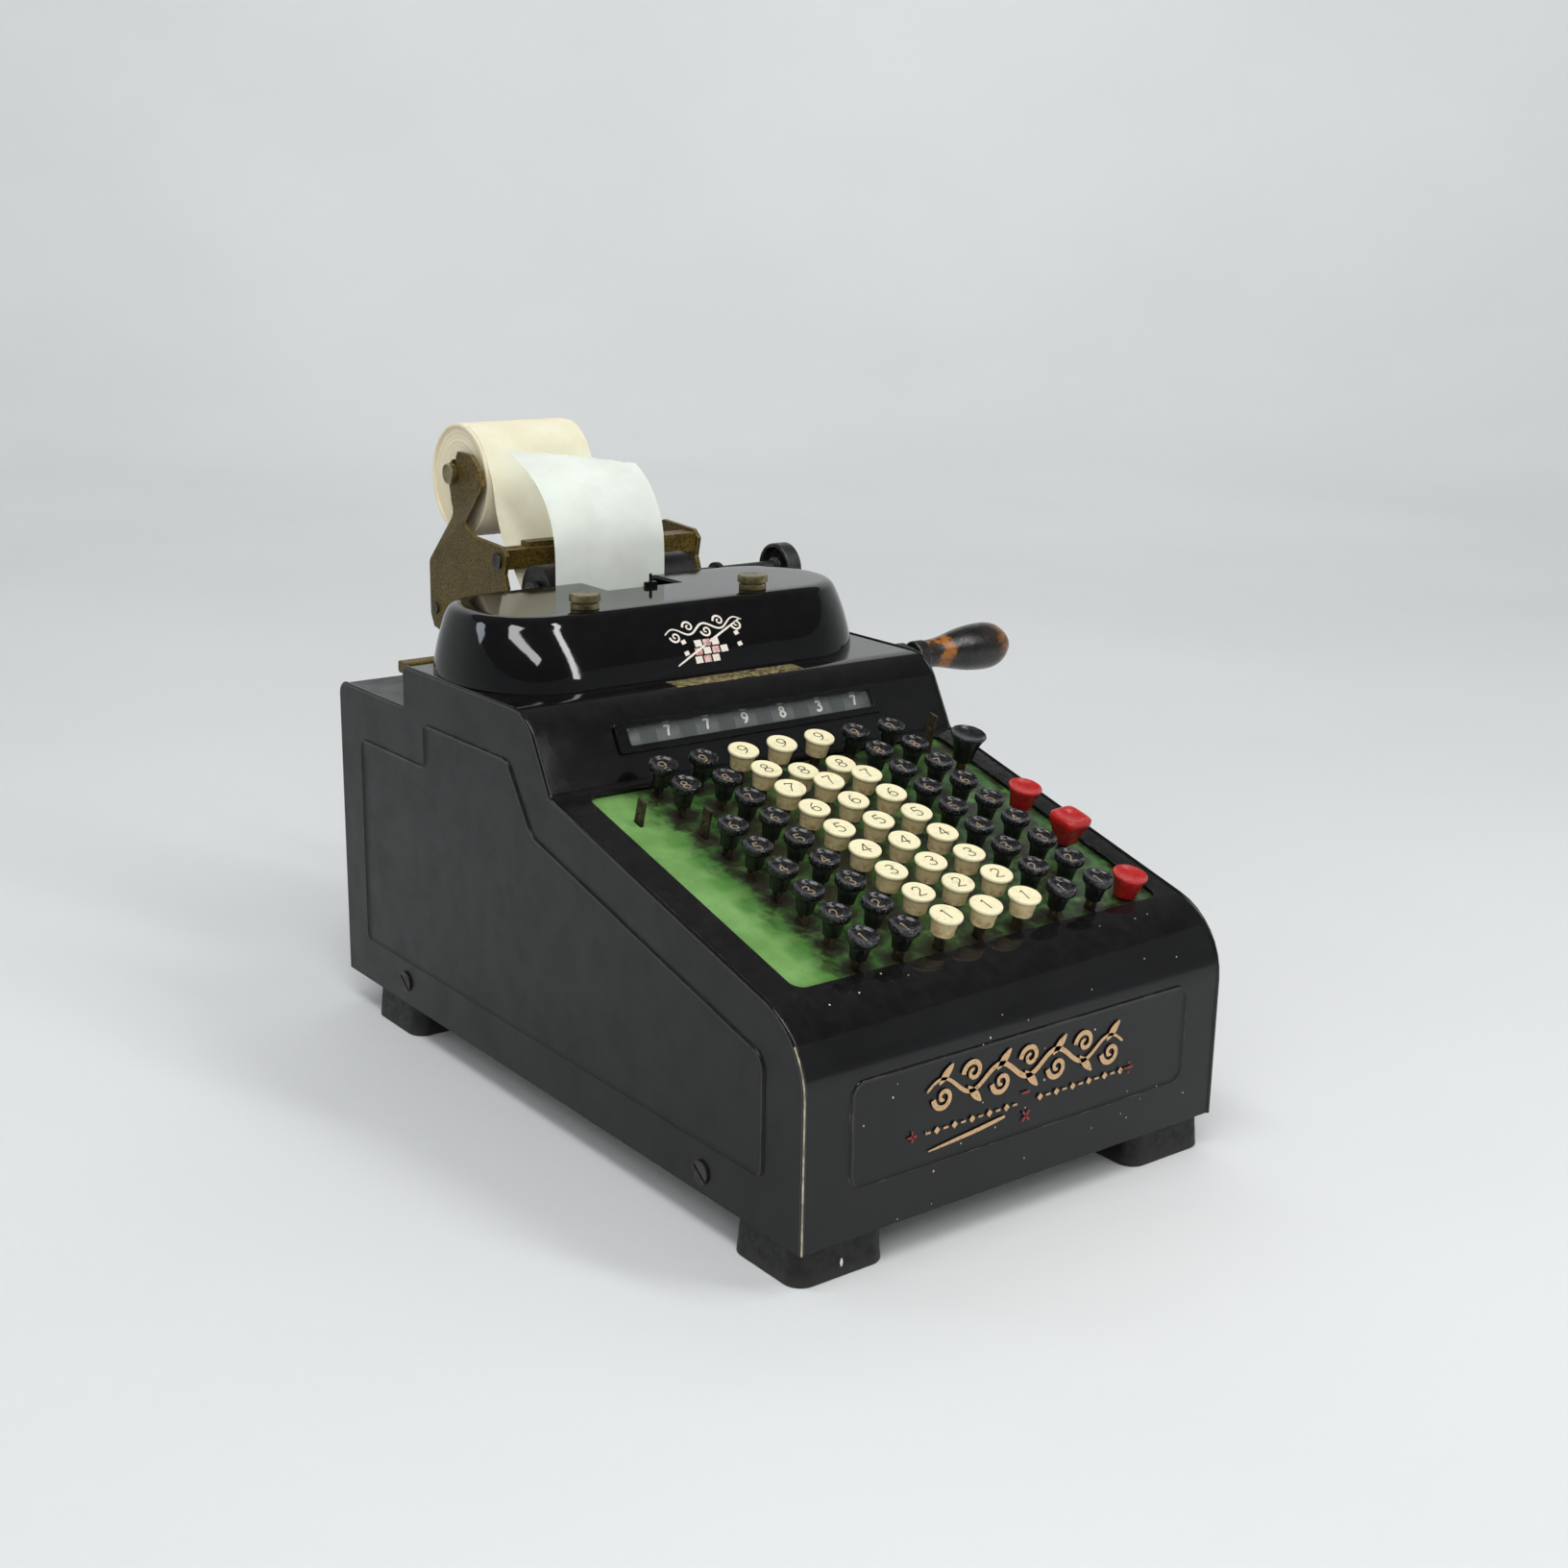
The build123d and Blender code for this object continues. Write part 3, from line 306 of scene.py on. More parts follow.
def green_plate():
    """Green keyboard enamel, clean at the left; darker under the keys as painted shade, with painted key shadows, and
    oily grime with painted shade round every stem.
    """
    g = Graph("green_plate")
    x = g.times(g.minus(g.axis(0), MID_X), 1 / (COLUMN_PITCH * MM))
    forward = g.node("VectorMath", {0: g.place, 1: tuple(SLOPE_START)}, operation="SUBTRACT").outputs[0]
    along = g.node("VectorMath", {0: forward, 1: tuple(UP_SLOPE)}, operation="DOT_PRODUCT").outputs["Value"]
    rows = g.times(g.minus(along, row_s(1) * MM), 1 / (ROW_PITCH * MM))
    across = g.times(g.math("PINGPONG", x, 0.5), COLUMN_PITCH)
    up = g.times(g.math("PINGPONG", rows, 0.5), ROW_PITCH)
    reach = g.math("SQRT", g.plus(g.times(across, across), g.times(up, up)))
    reach = g.plus(reach, g.patches(230, 4, 0.6, 0.2, 0.8, -3.0, 3.0))
    field = g.ramp(g.plus(x, g.patches(60, 3, 0.5, 0.3, 0.7, -0.12, 0.12)), -3.9, -3.1)
    ring = g.times(field, g.ramp(reach, 10.5, 3.0))
    tint = g.mix(g.patches(60, 4, 0.6, 0.3, 0.75), srgb(99, 142, 73), srgb(121, 166, 95))
    # darker green under the keys, in patches: painted shade and dirt
    tint = g.mix(g.times(field, g.patches(90, 4, 0.6, 0.2, 0.55)), tint, srgb(58, 100, 44))
    # painted shadows of the keys: darker green on the clean strip left of the first column, in the lower rows
    off_column = g.math("ABSOLUTE", g.minus(x, -3.62))
    painted_key_shadow = g.times(g.ramp(off_column, 0.36, 0.16), g.ramp(up, 6.5, 2.5))
    tint = g.mix(g.times(painted_key_shadow, g.ramp(along, 0.11, 0.095, 0.0, 0.55)), tint, srgb(64, 122, 48))
    # dark round every stem: oily grime and painted shade under the caps together
    tint = g.mix(ring, tint, srgb(34, 34, 20))
    oily = g.times(field, g.patches(120, 5, 0.65, 0.42, 0.62))
    tint = g.mix(oily, tint, srgb(36, 34, 22))
    tint = g.mix(g.specks(150, 0.0004, 0.05), tint, srgb(30, 34, 20))
    edge = g.ramp(g.math("ABSOLUTE", g.minus(along, 0.0695)), 0.0635, 0.0695)
    tint = g.mix(g.times(edge, 0.55), tint, srgb(30, 40, 20))
    rough = g.patches(150, 4, 0.6, 0.3, 0.7, 0.26, 0.5)
    return g.finish(tint, rough, g.bump(g.noise(420, 4, 0.6), 0.00008))


def lacquer(name):
    """Black lacquered grip, rubbed through to amber at the neck and at the tip."""
    g = Graph(name)
    low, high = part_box("grip")
    along = g.ramp(g.axis(0), low.x, high.x)
    along = g.plus(along, g.patches(90, 5, 0.7, 0.2, 0.8, -0.09, 0.09))
    tip = g.times(g.ramp(along, 0.8, 1.0), g.ramp(g.noise(210, 5, 0.7, 0.8), 0.4, 0.58))
    neck = g.times(g.ramp(along, 0.01, 0.06), g.ramp(along, 0.2, 0.1))
    neck = g.times(neck, g.patches(260, 4, 0.7, 0.3, 0.5))
    bare = g.mix(g.noise(480, 4, 0.6, stretch=(0.15, 1, 1)), srgb(96, 48, 14), srgb(190, 122, 44))
    tint = g.mix(g.patches(60, 3, 0.6, 0.3, 0.8), srgb(17, 16, 16), srgb(46, 40, 36))
    tint = g.mix(g.math("MAXIMUM", tip, neck), tint, bare)
    rough = g.patches(260, 4, 0.6, 0.3, 0.8, 0.22, 0.42)
    return g.finish(tint, rough, g.bump(g.noise(500, 4, 0.6, stretch=(0.2, 1, 1)), 0.00008))


def paper(name, colour, shade, layers=0.0):
    """Paper with a faint mottle; layers darkens the edges of a roll's windings."""
    g = Graph(name)
    tint = g.mix(g.patches(45, 4, 0.6, 0.3, 0.75), shade, colour)
    tint = g.mix(g.times(g.noise(1400, 3, 0.7), 0.12), tint, shade)
    if layers:
        drift = g.patches(1, 2, 0.5, 0, 1)
        stack = g.times(g.stored("layer"), g.ramp(drift, 0, 1, 0.5, 1.0))
        tint = g.mix(g.times(stack, layers), tint, srgb(182, 160, 112))
    height = g.plus(g.times(g.noise(900, 4, 0.7), 0.5), g.noise(90, 3, 0.5))
    return g.finish(tint, 0.82, g.bump(height, 0.00012), Subsurface_Weight=0.15, Subsurface_Scale=0.001)


def rubber(name):
    """Foot rubber, dusty near the floor."""
    g = Graph(name)
    tint = g.mix(g.patches(130, 5, 0.65, 0.3, 0.8), srgb(7, 7, 8), srgb(15, 15, 14))
    low = g.ramp(g.axis(2), 0.006, 0.0, 0.0, 0.6)
    tint = g.mix(g.times(low, g.noise(300, 4, 0.6)), tint, srgb(60, 56, 50))
    rough = g.patches(300, 4, 0.6, 0.3, 0.8, 0.5, 0.75)
    return g.finish(tint, rough, g.bump(g.noise(900, 4, 0.7), 0.0001))


def mottled_foil():
    """Worn gold transfer on the deck, speckled through to the black."""
    g = Graph("gold_transfer")
    patch = g.ramp(g.noise(560, 5, 0.8, 0.8), 0.46, 0.54)
    gold = g.mix(g.noise(260, 3, 0.6), srgb(140, 124, 70), srgb(206, 192, 136))
    return g.finish(g.mix(patch, srgb(28, 25, 18), gold), 0.45, g.bump(patch, 0.00003), Metallic=0.3)


def glass():
    """The thin clear pane of the window."""
    g = Graph("window_glass")
    return g.finish(srgb(205, 214, 212), g.patches(240, 4, 0.6, 0.3, 0.8, 0.02, 0.1), Alpha=0.07)


HOOD_BLACK = painted("hood_enamel", srgb(8, 8, 10), 0.055, 0.05, 0.012, wear=srgb(60, 58, 54), specks=0.012,
                     shine=0.42)
CASE_BLACK = painted("case_enamel", srgb(13, 13, 15), 0.06, 0.12, 0.03, wear=srgb(92, 88, 80), specks=0.22,
                     zone=(0.062, 0.078, 0.26), shine=0.4)
BEAD_BLACK = painted("bead_enamel", srgb(10, 10, 11), 0.14, 0.1, 0.01, wear=srgb(205, 196, 176))
CHARCOAL = painted("side_enamel", srgb(15, 15, 16), 0.34, 0.6, 0.04, wear=srgb(88, 86, 82), specks=0.03, shine=0.28)
BRONZE = wrinkle("bracket_enamel")
STEEL = metal("oiled_steel", srgb(120, 112, 98), srgb(52, 44, 34), 0.42, 0.8)
STEM = metal("stem_steel", srgb(92, 80, 60), srgb(26, 22, 17), 0.45, 0.6)
DARK_STEEL = metal("dark_steel", srgb(70, 68, 64), srgb(34, 32, 30), 0.45, 0.7)
BARE_EDGE = metal("bare_edge", srgb(206, 196, 172), srgb(120, 110, 92), 0.4, 0.3)
DIAL = metal("dial_enamel", srgb(66, 67, 67), srgb(46, 47, 48), 0.45, 0.0)
KNOB_STEEL = metal("knob_steel", srgb(64, 66, 65), srgb(38, 39, 38), 0.4, 0.5)
BRASS = metal("tarnished_brass", srgb(150, 140, 106), srgb(92, 84, 58), 0.42, 0.8)
# Cap colours: the top, then the darker barrel (partly painted shade, partly grime), then grime in the lower part.
IVORY = key_plastic("ivory_cap", srgb(240, 231, 190), srgb(214, 194, 148), srgb(112, 88, 46), 0.34)
BLACK = key_plastic("black_cap", srgb(16, 16, 18), srgb(9, 9, 10), srgb(26, 23, 20), 0.2, srgb(96, 96, 100))
RED = key_plastic("red_cap", srgb(172, 26, 26), srgb(150, 18, 18), srgb(56, 8, 6), 0.3, srgb(206, 84, 76))
GREEN = green_plate()
GRIP = lacquer("grip_lacquer")
ROLL_PAPER = paper("roll_paper", srgb(246, 238, 214), srgb(236, 224, 194), 0.5)
TAPE_PAPER = paper("tape_paper", srgb(230, 233, 224), srgb(216, 220, 212))
WEB_PAPER = paper("web_paper", srgb(242, 235, 212), srgb(230, 220, 190))
RUBBER = rubber("foot_rubber")
PLATEN = metal("platen_rubber", srgb(24, 24, 26), srgb(12, 12, 13), 0.4, 0.3, 0.0)
FOIL = mottled_foil()
GLASS = glass()
DARK_INK = ink("digit_ink", srgb(44, 40, 30), srgb(200, 188, 150), 0.36)
GOLD_INK = ink("gold_digit", srgb(150, 130, 104), srgb(44, 40, 36), 0.42)
WHITE_INK = ink("dial_digit", srgb(246, 242, 230), srgb(190, 186, 172), 0.3)
CREAM_INK = ink("hood_mark", srgb(226, 218, 205), srgb(110, 104, 96), 0.34)
TAN_INK = ink("front_mark", srgb(204, 166, 122), srgb(86, 64, 44), 0.4)
ROSE_INK = ink("rose_mark", srgb(196, 120, 118), srgb(214, 190, 182), 0.5)
RED_INK = ink("red_mark", srgb(150, 44, 44), srgb(60, 24, 24), 0.42)


# ------------------------------------------------------------------ mesh helpers
@contextmanager
def editing(mesh, source=None):
    """Opens a mesh, or a copy of source, for editing, and writes the result into mesh."""
    work = bmesh.new()
    if source or mesh.vertices:
        work.from_mesh(source or mesh)
    yield work
    work.to_mesh(mesh)
    work.free()


def wear_it(piece, material, body, slot, replaced=()):
    piece.data.materials.clear()
    piece.data.materials.append(material)
    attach(piece, body)
    if replaced:
        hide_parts(*replaced)
    return piece


def smooth(mesh, limit=math.radians(38)):
    """Smooth shading, with creases only at sharp corners."""
    with editing(mesh) as work:
        for face in work.faces:
            face.smooth = True
        for edge in work.edges:
            edge.smooth = len(edge.link_faces) == 2 and edge.calc_face_angle(0) < limit


def weighted(piece):
    made = piece.modifiers.new("weighted", "WEIGHTED_NORMAL")
    made.keep_sharp = True


def bake(piece):
    """Replaces a piece's mesh by what its modifiers make of it."""
    bpy.context.view_layer.update()
    done = bpy.data.meshes.new_from_object(piece.evaluated_get(bpy.context.evaluated_depsgraph_get()))
    piece.modifiers.clear()
    piece.data = done


FIELD_SLOPE = 2.0   # width of the soft slope round a pressed field


def softened(node, width, material, slot, segments=2, limit=28, raised=None, shaped=None):
    """A copy of a CAD node with its corners rounded by width millimetres; the corners are marked as edge.

    raised = (axis, sign) spreads the step of the pressed field on that side into a soft slope, and
    shaped is a function that moves the copy's corners first.
    """
    mesh = bpy.data.meshes.new(node + "_soft")
    with editing(mesh, nodes[node].data) as work:
        bmesh.ops.remove_doubles(work, verts=work.verts, dist=1e-6)
        bmesh.ops.dissolve_limit(work, angle_limit=math.radians(0.6), verts=work.verts, edges=work.edges)
        if raised:
            axis, sign = raised
            top = max(v.co[axis] * sign for v in work.verts)
            field = [f for f in work.faces if f.normal[axis] * sign > 0.999
                     and top - f.calc_center_median()[axis] * sign < 0.05 * MM]
            rim = {v for f in field for v in f.verts}
            bmesh.ops.inset_region(work, faces=field, thickness=FIELD_SLOPE * MM, depth=0, use_even_offset=True)
            for v in rim:
                v.co[axis] -= sign * FIELD * MM
        if shaped:
            shaped(work)
        tag = work.faces.layers.float.new("edge")
        corners = [e for e in work.edges
                   if len(e.link_faces) == 2 and abs(e.calc_face_angle(0)) > math.radians(limit)]
        made = bmesh.ops.bevel(work, geom=corners, offset=width * MM, segments=segments, profile=0.5,
                               affect="EDGES", clamp_overlap=True)
        for face in made["faces"]:
            face[tag] = 1.0
    smooth(mesh)
    piece = link(node + "_soft", mesh)
    weighted(piece)
    return wear_it(piece, material, nodes[node]["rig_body"], slot, [node])


def repaint(node, material):
    """Gives a CAD node, whose shape stays, its material."""
    mesh = nodes[node].data
    mesh.materials.clear()
    mesh.materials.append(material)


def ring_faces(rings, segments, ends=(True, True), flip=False, closed=False):
    """Faces between rings of vertices; ends says whether the first and the last ring are filled."""
    faces = []
    for j in range(rings if closed else rings - 1):
        a, b = j * segments, (j + 1) % rings * segments
        for k in range(segments):
            n = (k + 1) % segments
            faces.append((a + k, b + k, b + n, a + n) if flip else (a + k, a + n, b + n, b + k))
    if ends[0]:
        faces.append(tuple(reversed(range(segments))))
    if ends[1]:
        faces.append(tuple((rings - 1) * segments + k for k in range(segments)))
    return faces


def lathe(profile, segments=44):
    """Rings of (radius, height) about +Z: vertices, faces and a depth from 0 at the top to 1."""
    verts, depth = [], []
    low = min(z for _, z in profile)
    for r, z in profile:
        for k in range(segments):
            a = 2 * math.pi * k / segments
            verts.append(Vector((r * math.cos(a) * MM, r * math.sin(a) * MM, z * MM)))
            depth.append(z / low)
    return verts, ring_faces(len(profile), segments), depth


def gather(name, parts):
    """One mesh from [(vertices, faces, {attribute: values})], already in place."""
    mesh = bpy.data.meshes.new(name)
    verts, faces, stored = [], [], {}
    for points, polygons, values in parts:
        base = len(verts)
        verts.extend(points)
        faces.extend(tuple(base + i for i in f) for f in polygons)
        for key, numbers in values.items():
            stored.setdefault(key, [0.0] * base).extend(numbers)
        for key in stored:
            stored[key].extend([0.0] * (len(verts) - len(stored[key])))
    mesh.from_pydata(verts, [], faces)
    for key, numbers in stored.items():
        mesh.attributes.new(key, "FLOAT", "POINT").data.foreach_set("value", numbers)
    mesh.update()
    return mesh


def solid(name, parts, material, body, slot, replaced=(), limit=math.radians(38)):
    """A smooth-shaded piece from parts."""
    piece = link(name, gather(name, parts))
    smooth(piece.data, limit)
    return wear_it(piece, material, body, slot, replaced)


def curve_through(points, step):
    """Points along a smooth line through the given ones."""
    out = []
    for i in range(len(points) - 1):
        p0, p1, p2, p3 = (Vector(points[max(0, min(len(points) - 1, i + k))]) for k in (-1, 0, 1, 2))
        for k in range(step):
            t = k / step
            out.append(0.5 * ((2 * p1) + (p2 - p0) * t + (2 * p0 - 5 * p1 + 4 * p2 - p3) * t * t
                              + (3 * p1 - p0 - 3 * p2 + p3) * t ** 3))
    out.append(Vector(points[-1]))
    return out


def ribbon(points, width, place):
    """A flat stroke along 2-D points; width is a number or a function of 0..1, place maps (x, y) to space."""
    verts, faces = [], []
    points = [Vector(p) for p in points]
    total = len(points) - 1
    for i, p in enumerate(points):
        along = points[min(total, i + 1)] - points[max(0, i - 1)]
        along = along.normalized() if along.length > 1e-9 else Vector((1, 0))
        side = Vector((-along.y, along.x)) * (width(i / total) if callable(width) else width) / 2
        verts += [place(p + side), place(p - side)]
    for i in range(total):
        faces.append((2 * i, 2 * i + 1, 2 * i + 3, 2 * i + 2))
    return verts, faces, {}


def thicken(piece, amount):
    made = piece.modifiers.new("thickness", "SOLIDIFY")
    made.thickness, made.offset = amount * MM, 0.0
    bake(piece)


def mark(name, parts, amount, material, body, slot):
    """Painted strokes with a little thickness."""
    piece = link(name, gather(name, parts))
    thicken(piece, amount)
    wear_it(piece, material, body, slot)


# ------------------------------------------------------------------ digits
# The strokes of each digit, about its middle.
DIGITS = {
    0: [[(0, 3.2), (1.5, 2.2), (1.9, 0), (1.5, -2.2), (0, -3.2), (-1.5, -2.2), (-1.9, 0), (-1.5, 2.2), (0, 3.2)]],
    1: [[(-1.0, 2.1), (0.1, 3.1)], [(0.1, 3.2), (0.1, 0), (0.1, -3.2)]],
    2: [[(-1.7, 1.7), (-1.2, 2.8), (0, 3.2), (1.3, 2.7), (1.6, 1.5), (0.8, 0.1), (-0.8, -1.5), (-1.8, -2.9)],
        [(-1.8, -2.9), (-0.6, -2.7), (0.8, -3.0), (2.0, -2.7)]],
    3: [[(-1.5, 2.5), (-0.4, 3.2), (0.9, 3.0), (1.5, 2.0), (1.0, 0.9), (-0.3, 0.4)],
        [(-0.3, 0.4), (1.1, 0.1), (1.8, -1.1), (1.4, -2.5), (0.1, -3.2), (-1.2, -2.9), (-1.8, -2.1)]],
    4: [[(0.8, -3.2), (0.8, 3.2)], [(0.8, 3.2), (-2.0, -1.2)], [(-2.0, -1.2), (2.2, -1.2)]],
    5: [[(1.6, 3.1), (-1.1, 3.1)], [(-1.1, 3.1), (-1.4, 0.4)],
        [(-1.4, 0.4), (-0.2, 0.9), (1.1, 0.5), (1.8, -0.8), (1.4, -2.4), (0.2, -3.2), (-1.1, -3.0), (-1.8, -2.3)]],
    6: [[(1.2, 3.1), (-0.4, 2.1), (-1.5, 0.3), (-1.8, -1.4), (-1.1, -2.9), (0.2, -3.2), (1.4, -2.6), (1.8, -1.3),
         (1.2, -0.1), (0, 0.3), (-1.2, -0.2), (-1.75, -1.2)]],
    7: [[(-1.8, 2.4), (-1.7, 3.1)], [(-1.7, 3.1), (1.8, 3.1)], [(1.8, 3.1), (0.6, 0.8), (-0.3, -3.2)]],
    8: [[(0, 0.3), (1.2, 1.0), (1.4, 2.3), (0, 3.2), (-1.4, 2.3), (-1.2, 1.0), (0, 0.3), (1.5, -0.5), (1.8, -1.9),
         (0, -3.2), (-1.8, -1.9), (-1.5, -0.5), (0, 0.3)]],
}
DIGITS[9] = [[(-x, -y) for x, y in stroke] for stroke in DIGITS[6]]


def digit_strokes(number, size, width, place):
    """A digit's strokes at a size, ready to gather."""
    return [ribbon(curve_through([Vector(p) * size for p in stroke], 5 if len(stroke) > 2 else 3), width, place)
            for stroke in DIGITS[number]]


# ------------------------------------------------------------------ key caps
IVORY_SHAPE = [(0.01, -8.2), (4.1, -8.2), (4.4, -8.0), (4.5, -7.2), (4.6, -6.0), (4.78, -4.5), (5.05, -3.0),
               (5.35, -2.0), (5.8, -1.6), (6.12, -1.35), (6.25, -1.0), (6.25, -0.45), (6.12, -0.18), (5.85, -0.03),
               (5.5, 0.0), (5.0, -0.1), (4.2, -0.22), (2.5, -0.32), (0.01, -0.36)]
BLACK_SHAPE = [(0.01, -10), (3.0, -10), (3.25, -9.8), (3.4, -8.4), (3.6, -6.8), (3.9, -5.5), (4.3, -4.4), (4.85, -3.5),
               (5.4, -2.95), (5.68, -2.6), (5.8, -2.2), (5.8, -0.5), (5.7, -0.14), (5.45, 0.0), (5.2, -0.06),
               (4.9, -0.3), (4.4, -0.75), (3.6, -1.1), (2.0, -1.35), (0.01, -1.4)]
BIG_SHAPE = [(0.01, -12.5), (3.9, -12.5), (4.2, -12.3), (4.5, -10.0), (5.0, -7.0), (5.8, -4.2), (6.8, -2.1),
             (7.4, -1.1), (7.6, -0.7), (7.6, -0.35), (7.45, -0.08), (7.15, 0.0), (6.85, -0.1), (6.3, -0.6),
             (5.2, -1.2), (3.0, -1.6), (0.01, -1.7)]
RED_SHAPE = [(0.01, -9.5), (4.3, -9.5), (4.6, -9.3), (4.75, -8.0), (5.1, -6.0), (5.7, -3.6), (6.4, -1.8),
             (6.8, -0.95), (6.9, -0.6), (6.88, -0.3), (6.7, -0.06), (6.4, 0.0), (6.1, -0.08), (5.6, -0.5),
             (4.6, -1.05), (2.6, -1.4), (0.01, -1.5)]


def dish(shape, radius):
    """Height of a cap's top at a radius, in millimetres."""
    top = shape[shape.index(max(shape, key=lambda p: p[1])):]
    for (r0, z0), (r1, z1) in zip(top, top[1:]):
        if r1 <= radius <= r0:
            return z1 + (z0 - z1) * (radius - r1) / (r0 - r1)
    return top[-1][1]


def cap(shape, matrix, chips):
    """A turned cap with an uneven, chipped rim; scuff says how worn each point is."""
    verts, faces, depth = lathe(shape)
    rim = max(r for r, _ in shape)
    seed = random.uniform(0, 50)
    scuff, placed = [], []
    for v in verts:
        r = math.hypot(v.x, v.y) / MM
        z = v.z / MM
        bite = noise.noise(Vector((v.x, v.y, 0)) * 420 + Vector((seed, seed, 0)))
        if chips and r > rim - 1.0 and z > -1.2:
            v = v * (1 - max(0.0, bite - 0.2) * chips * 0.06)
            v.z -= max(0.0, bite - 0.1) * chips * 0.2 * MM
        scuff.append(1.0 if z > -1.6 and r > rim - 1.1 else 0.55 if z > -1.6 and r < rim - 1.0 else 0.06)
        placed.append(matrix @ v)
    return placed, faces, {"depth": depth, "scuff": scuff}


CAP_TOP, LATCHED_TOP = 13.2, 9.2    # over the keyboard slope
LATCHED = {(8, 4), (8, 5)}          # (row, column) of the keys that stand pressed
BARE = (7, 1)                       # its stem has lost its cap


def amount_keys():
    """Caps and digits of the amount keys, one set for each body that moves on its own."""
    sets = {}
    for row in range(1, 10):
        for column in range(1, 8):
            if (row, column) == BARE:
                continue
            down = (row, column) in LATCHED
            body = "latched_keys" if down else f"row_{row}"
            ivory = column in (3, 4, 5)
            shape = IVORY_SHAPE if ivory else BLACK_SHAPE
            turn, tip = random.gauss(0, 0.10), (random.gauss(0, 0.014), random.gauss(0, 0.014))
            matrix = on_slope(column_x(column), row_s(row), LATCHED_TOP if down else CAP_TOP, turn, tip)
            group = sets.setdefault(body, {"ivory": [], "black": [], "dark": [], "gold": []})
            group["ivory" if ivory else "black"].append(cap(shape, matrix, 0.0 if ivory else 1.0))

            def place(p, matrix=matrix, shape=shape):
                return matrix @ Vector((p.x * MM, p.y * MM, (dish(shape, p.length) + 0.03) * MM))
            size, width = (0.92, 0.46) if ivory else (0.78, 0.55)
            group["dark" if ivory else "gold"].extend(digit_strokes(row, size, width, place))
    looks = {"ivory": (IVORY, "ivory_plastic"), "black": (BLACK, "key_plastic"),
             "dark": (DARK_INK, "key_plastic"), "gold": (GOLD_INK, "brass")}
    for body, group in sets.items():
        node = "caps_latched" if body == "latched_keys" else "caps_" + body
        for kind, parts in group.items():
            if not parts:
                continue
            piece = link(f"{body}_{kind}", gather(f"{body}_{kind}", parts))
            smooth(piece.data)
            if kind in ("dark", "gold"):
                thicken(piece, 0.06)
            wear_it(piece, looks[kind][0], body, looks[kind][1], [node] if kind in ("ivory", "black") else ())


amount_keys()
SQUARE_SEGMENTS = 48


def rounded_square(half, corner, z):
    points = []
    for k in range(SQUARE_SEGMENTS):
        a = 2 * math.pi * (k + 0.5) / SQUARE_SEGMENTS
        c, s = math.cos(a), math.sin(a)
        power = 2 + 6 * (1 - corner)
        reach = half / (abs(c) ** power + abs(s) ** power) ** (1 / power)
        points.append(Vector((reach * c * MM, reach * s * MM, z * MM)))
    return points


def square_cap(matrix):
    """The square red cap, from rings of (half width, roundness, height)."""
    rings = [(0.01, 1, -12), (3.7, 0.6, -12), (4.1, 0.6, -11.7), (4.5, 0.55, -9.5), (5.4, 0.5, -6.2), (6.3, 0.4, -4),
             (6.65, 0.4, -3.0), (6.7, 0.4, -1.2), (6.55, 0.4, -0.5), (6.15, 0.45, -0.1), (5.6, 0.7, 0.0),
             (5.1, 0.95, -0.02), (4.7, 1, -0.2), (4.1, 1, -0.8), (2.5, 1, -1.15), (0.01, 1, -1.25)]
    verts, depth, scuff = [], [], []
    for half, corner, z in rings:
        verts.extend(matrix @ p for p in rounded_square(half, corner, z))
        depth.extend([-z / 12] * SQUARE_SEGMENTS)
        scuff.extend([0.7 if z > -1 and half > 4.5 else 0.15] * SQUARE_SEGMENTS)
    return verts, ring_faces(len(rings), SQUARE_SEGMENTS), {"depth": depth, "scuff": scuff}


def stem(x, s, upper):
    """A flat stem with cut-off upper corners."""
    foot, half_t, half_w, cut = -36.0, 0.6, 2.3, 0.8
    low, high = upper - 8.2, upper - 4.2
    outer = [(-half_w, foot), (half_w, foot), (half_w, low), (half_w, high), (half_w, upper - cut),
             (half_w - cut, upper), (-half_w + cut, upper), (-half_w, upper - cut), (-half_w, high), (-half_w, low)]
    work = bmesh.new()
    flat = [work.verts.new((-half_t * MM, y * MM, z * MM)) for y, z in outer]
    face = work.faces.new(flat)
    grown = bmesh.ops.extrude_face_region(work, geom=[face])
    bmesh.ops.translate(work, verts=[v for v in grown["geom"] if isinstance(v, bmesh.types.BMVert)],
                        vec=(2 * half_t * MM, 0, 0))
    bmesh.ops.recalc_face_normals(work, faces=work.faces)
    bmesh.ops.bevel(work, geom=list(work.edges), offset=0.15 * MM, segments=1, affect="EDGES")
    matrix = on_slope(x, s, 0)
    work.verts.ensure_lookup_table()
    verts = [matrix @ v.co for v in work.verts]
    faces = [tuple(v.index for v in f.verts) for f in work.faces]
    work.free()
    return verts, faces, {"edge": [0.6] * len(verts)}


FUNCTION_X = 78.0
# Name, shape (none for the square one), place up the slope, height of the top, material and slot.
FUNCTION_KEYS = [("key_front_red", RED_SHAPE, 7.6, 8.6, RED, "red_plastic"),
                 ("key_square_red", None, 43.6, 14.7, RED, "red_plastic"),
                 ("key_back_red", RED_SHAPE, 70.5, 13.2, RED, "red_plastic"),
                 ("key_big_black", BIG_SHAPE, 107.9, 18.0, BLACK, "key_plastic")]


def function_keys():
    for name, shape, s, top, material, slot in FUNCTION_KEYS:
        matrix = on_slope(FUNCTION_X, s, top, random.gauss(0, 0.05))
        part = cap(shape, matrix, 0.6 if material is BLACK else 0.15) if shape else square_cap(matrix)
        solid(name + "_cap", [part], material, name, slot, [name])
        low = -min(z for _, z in shape) if shape else 12
        shaft = link(name + "_stem", gather(name + "_stem", [stem(FUNCTION_X, s, top - low + 1.5)]))
        wear_it(shaft, STEM, name, "steel")


function_keys()


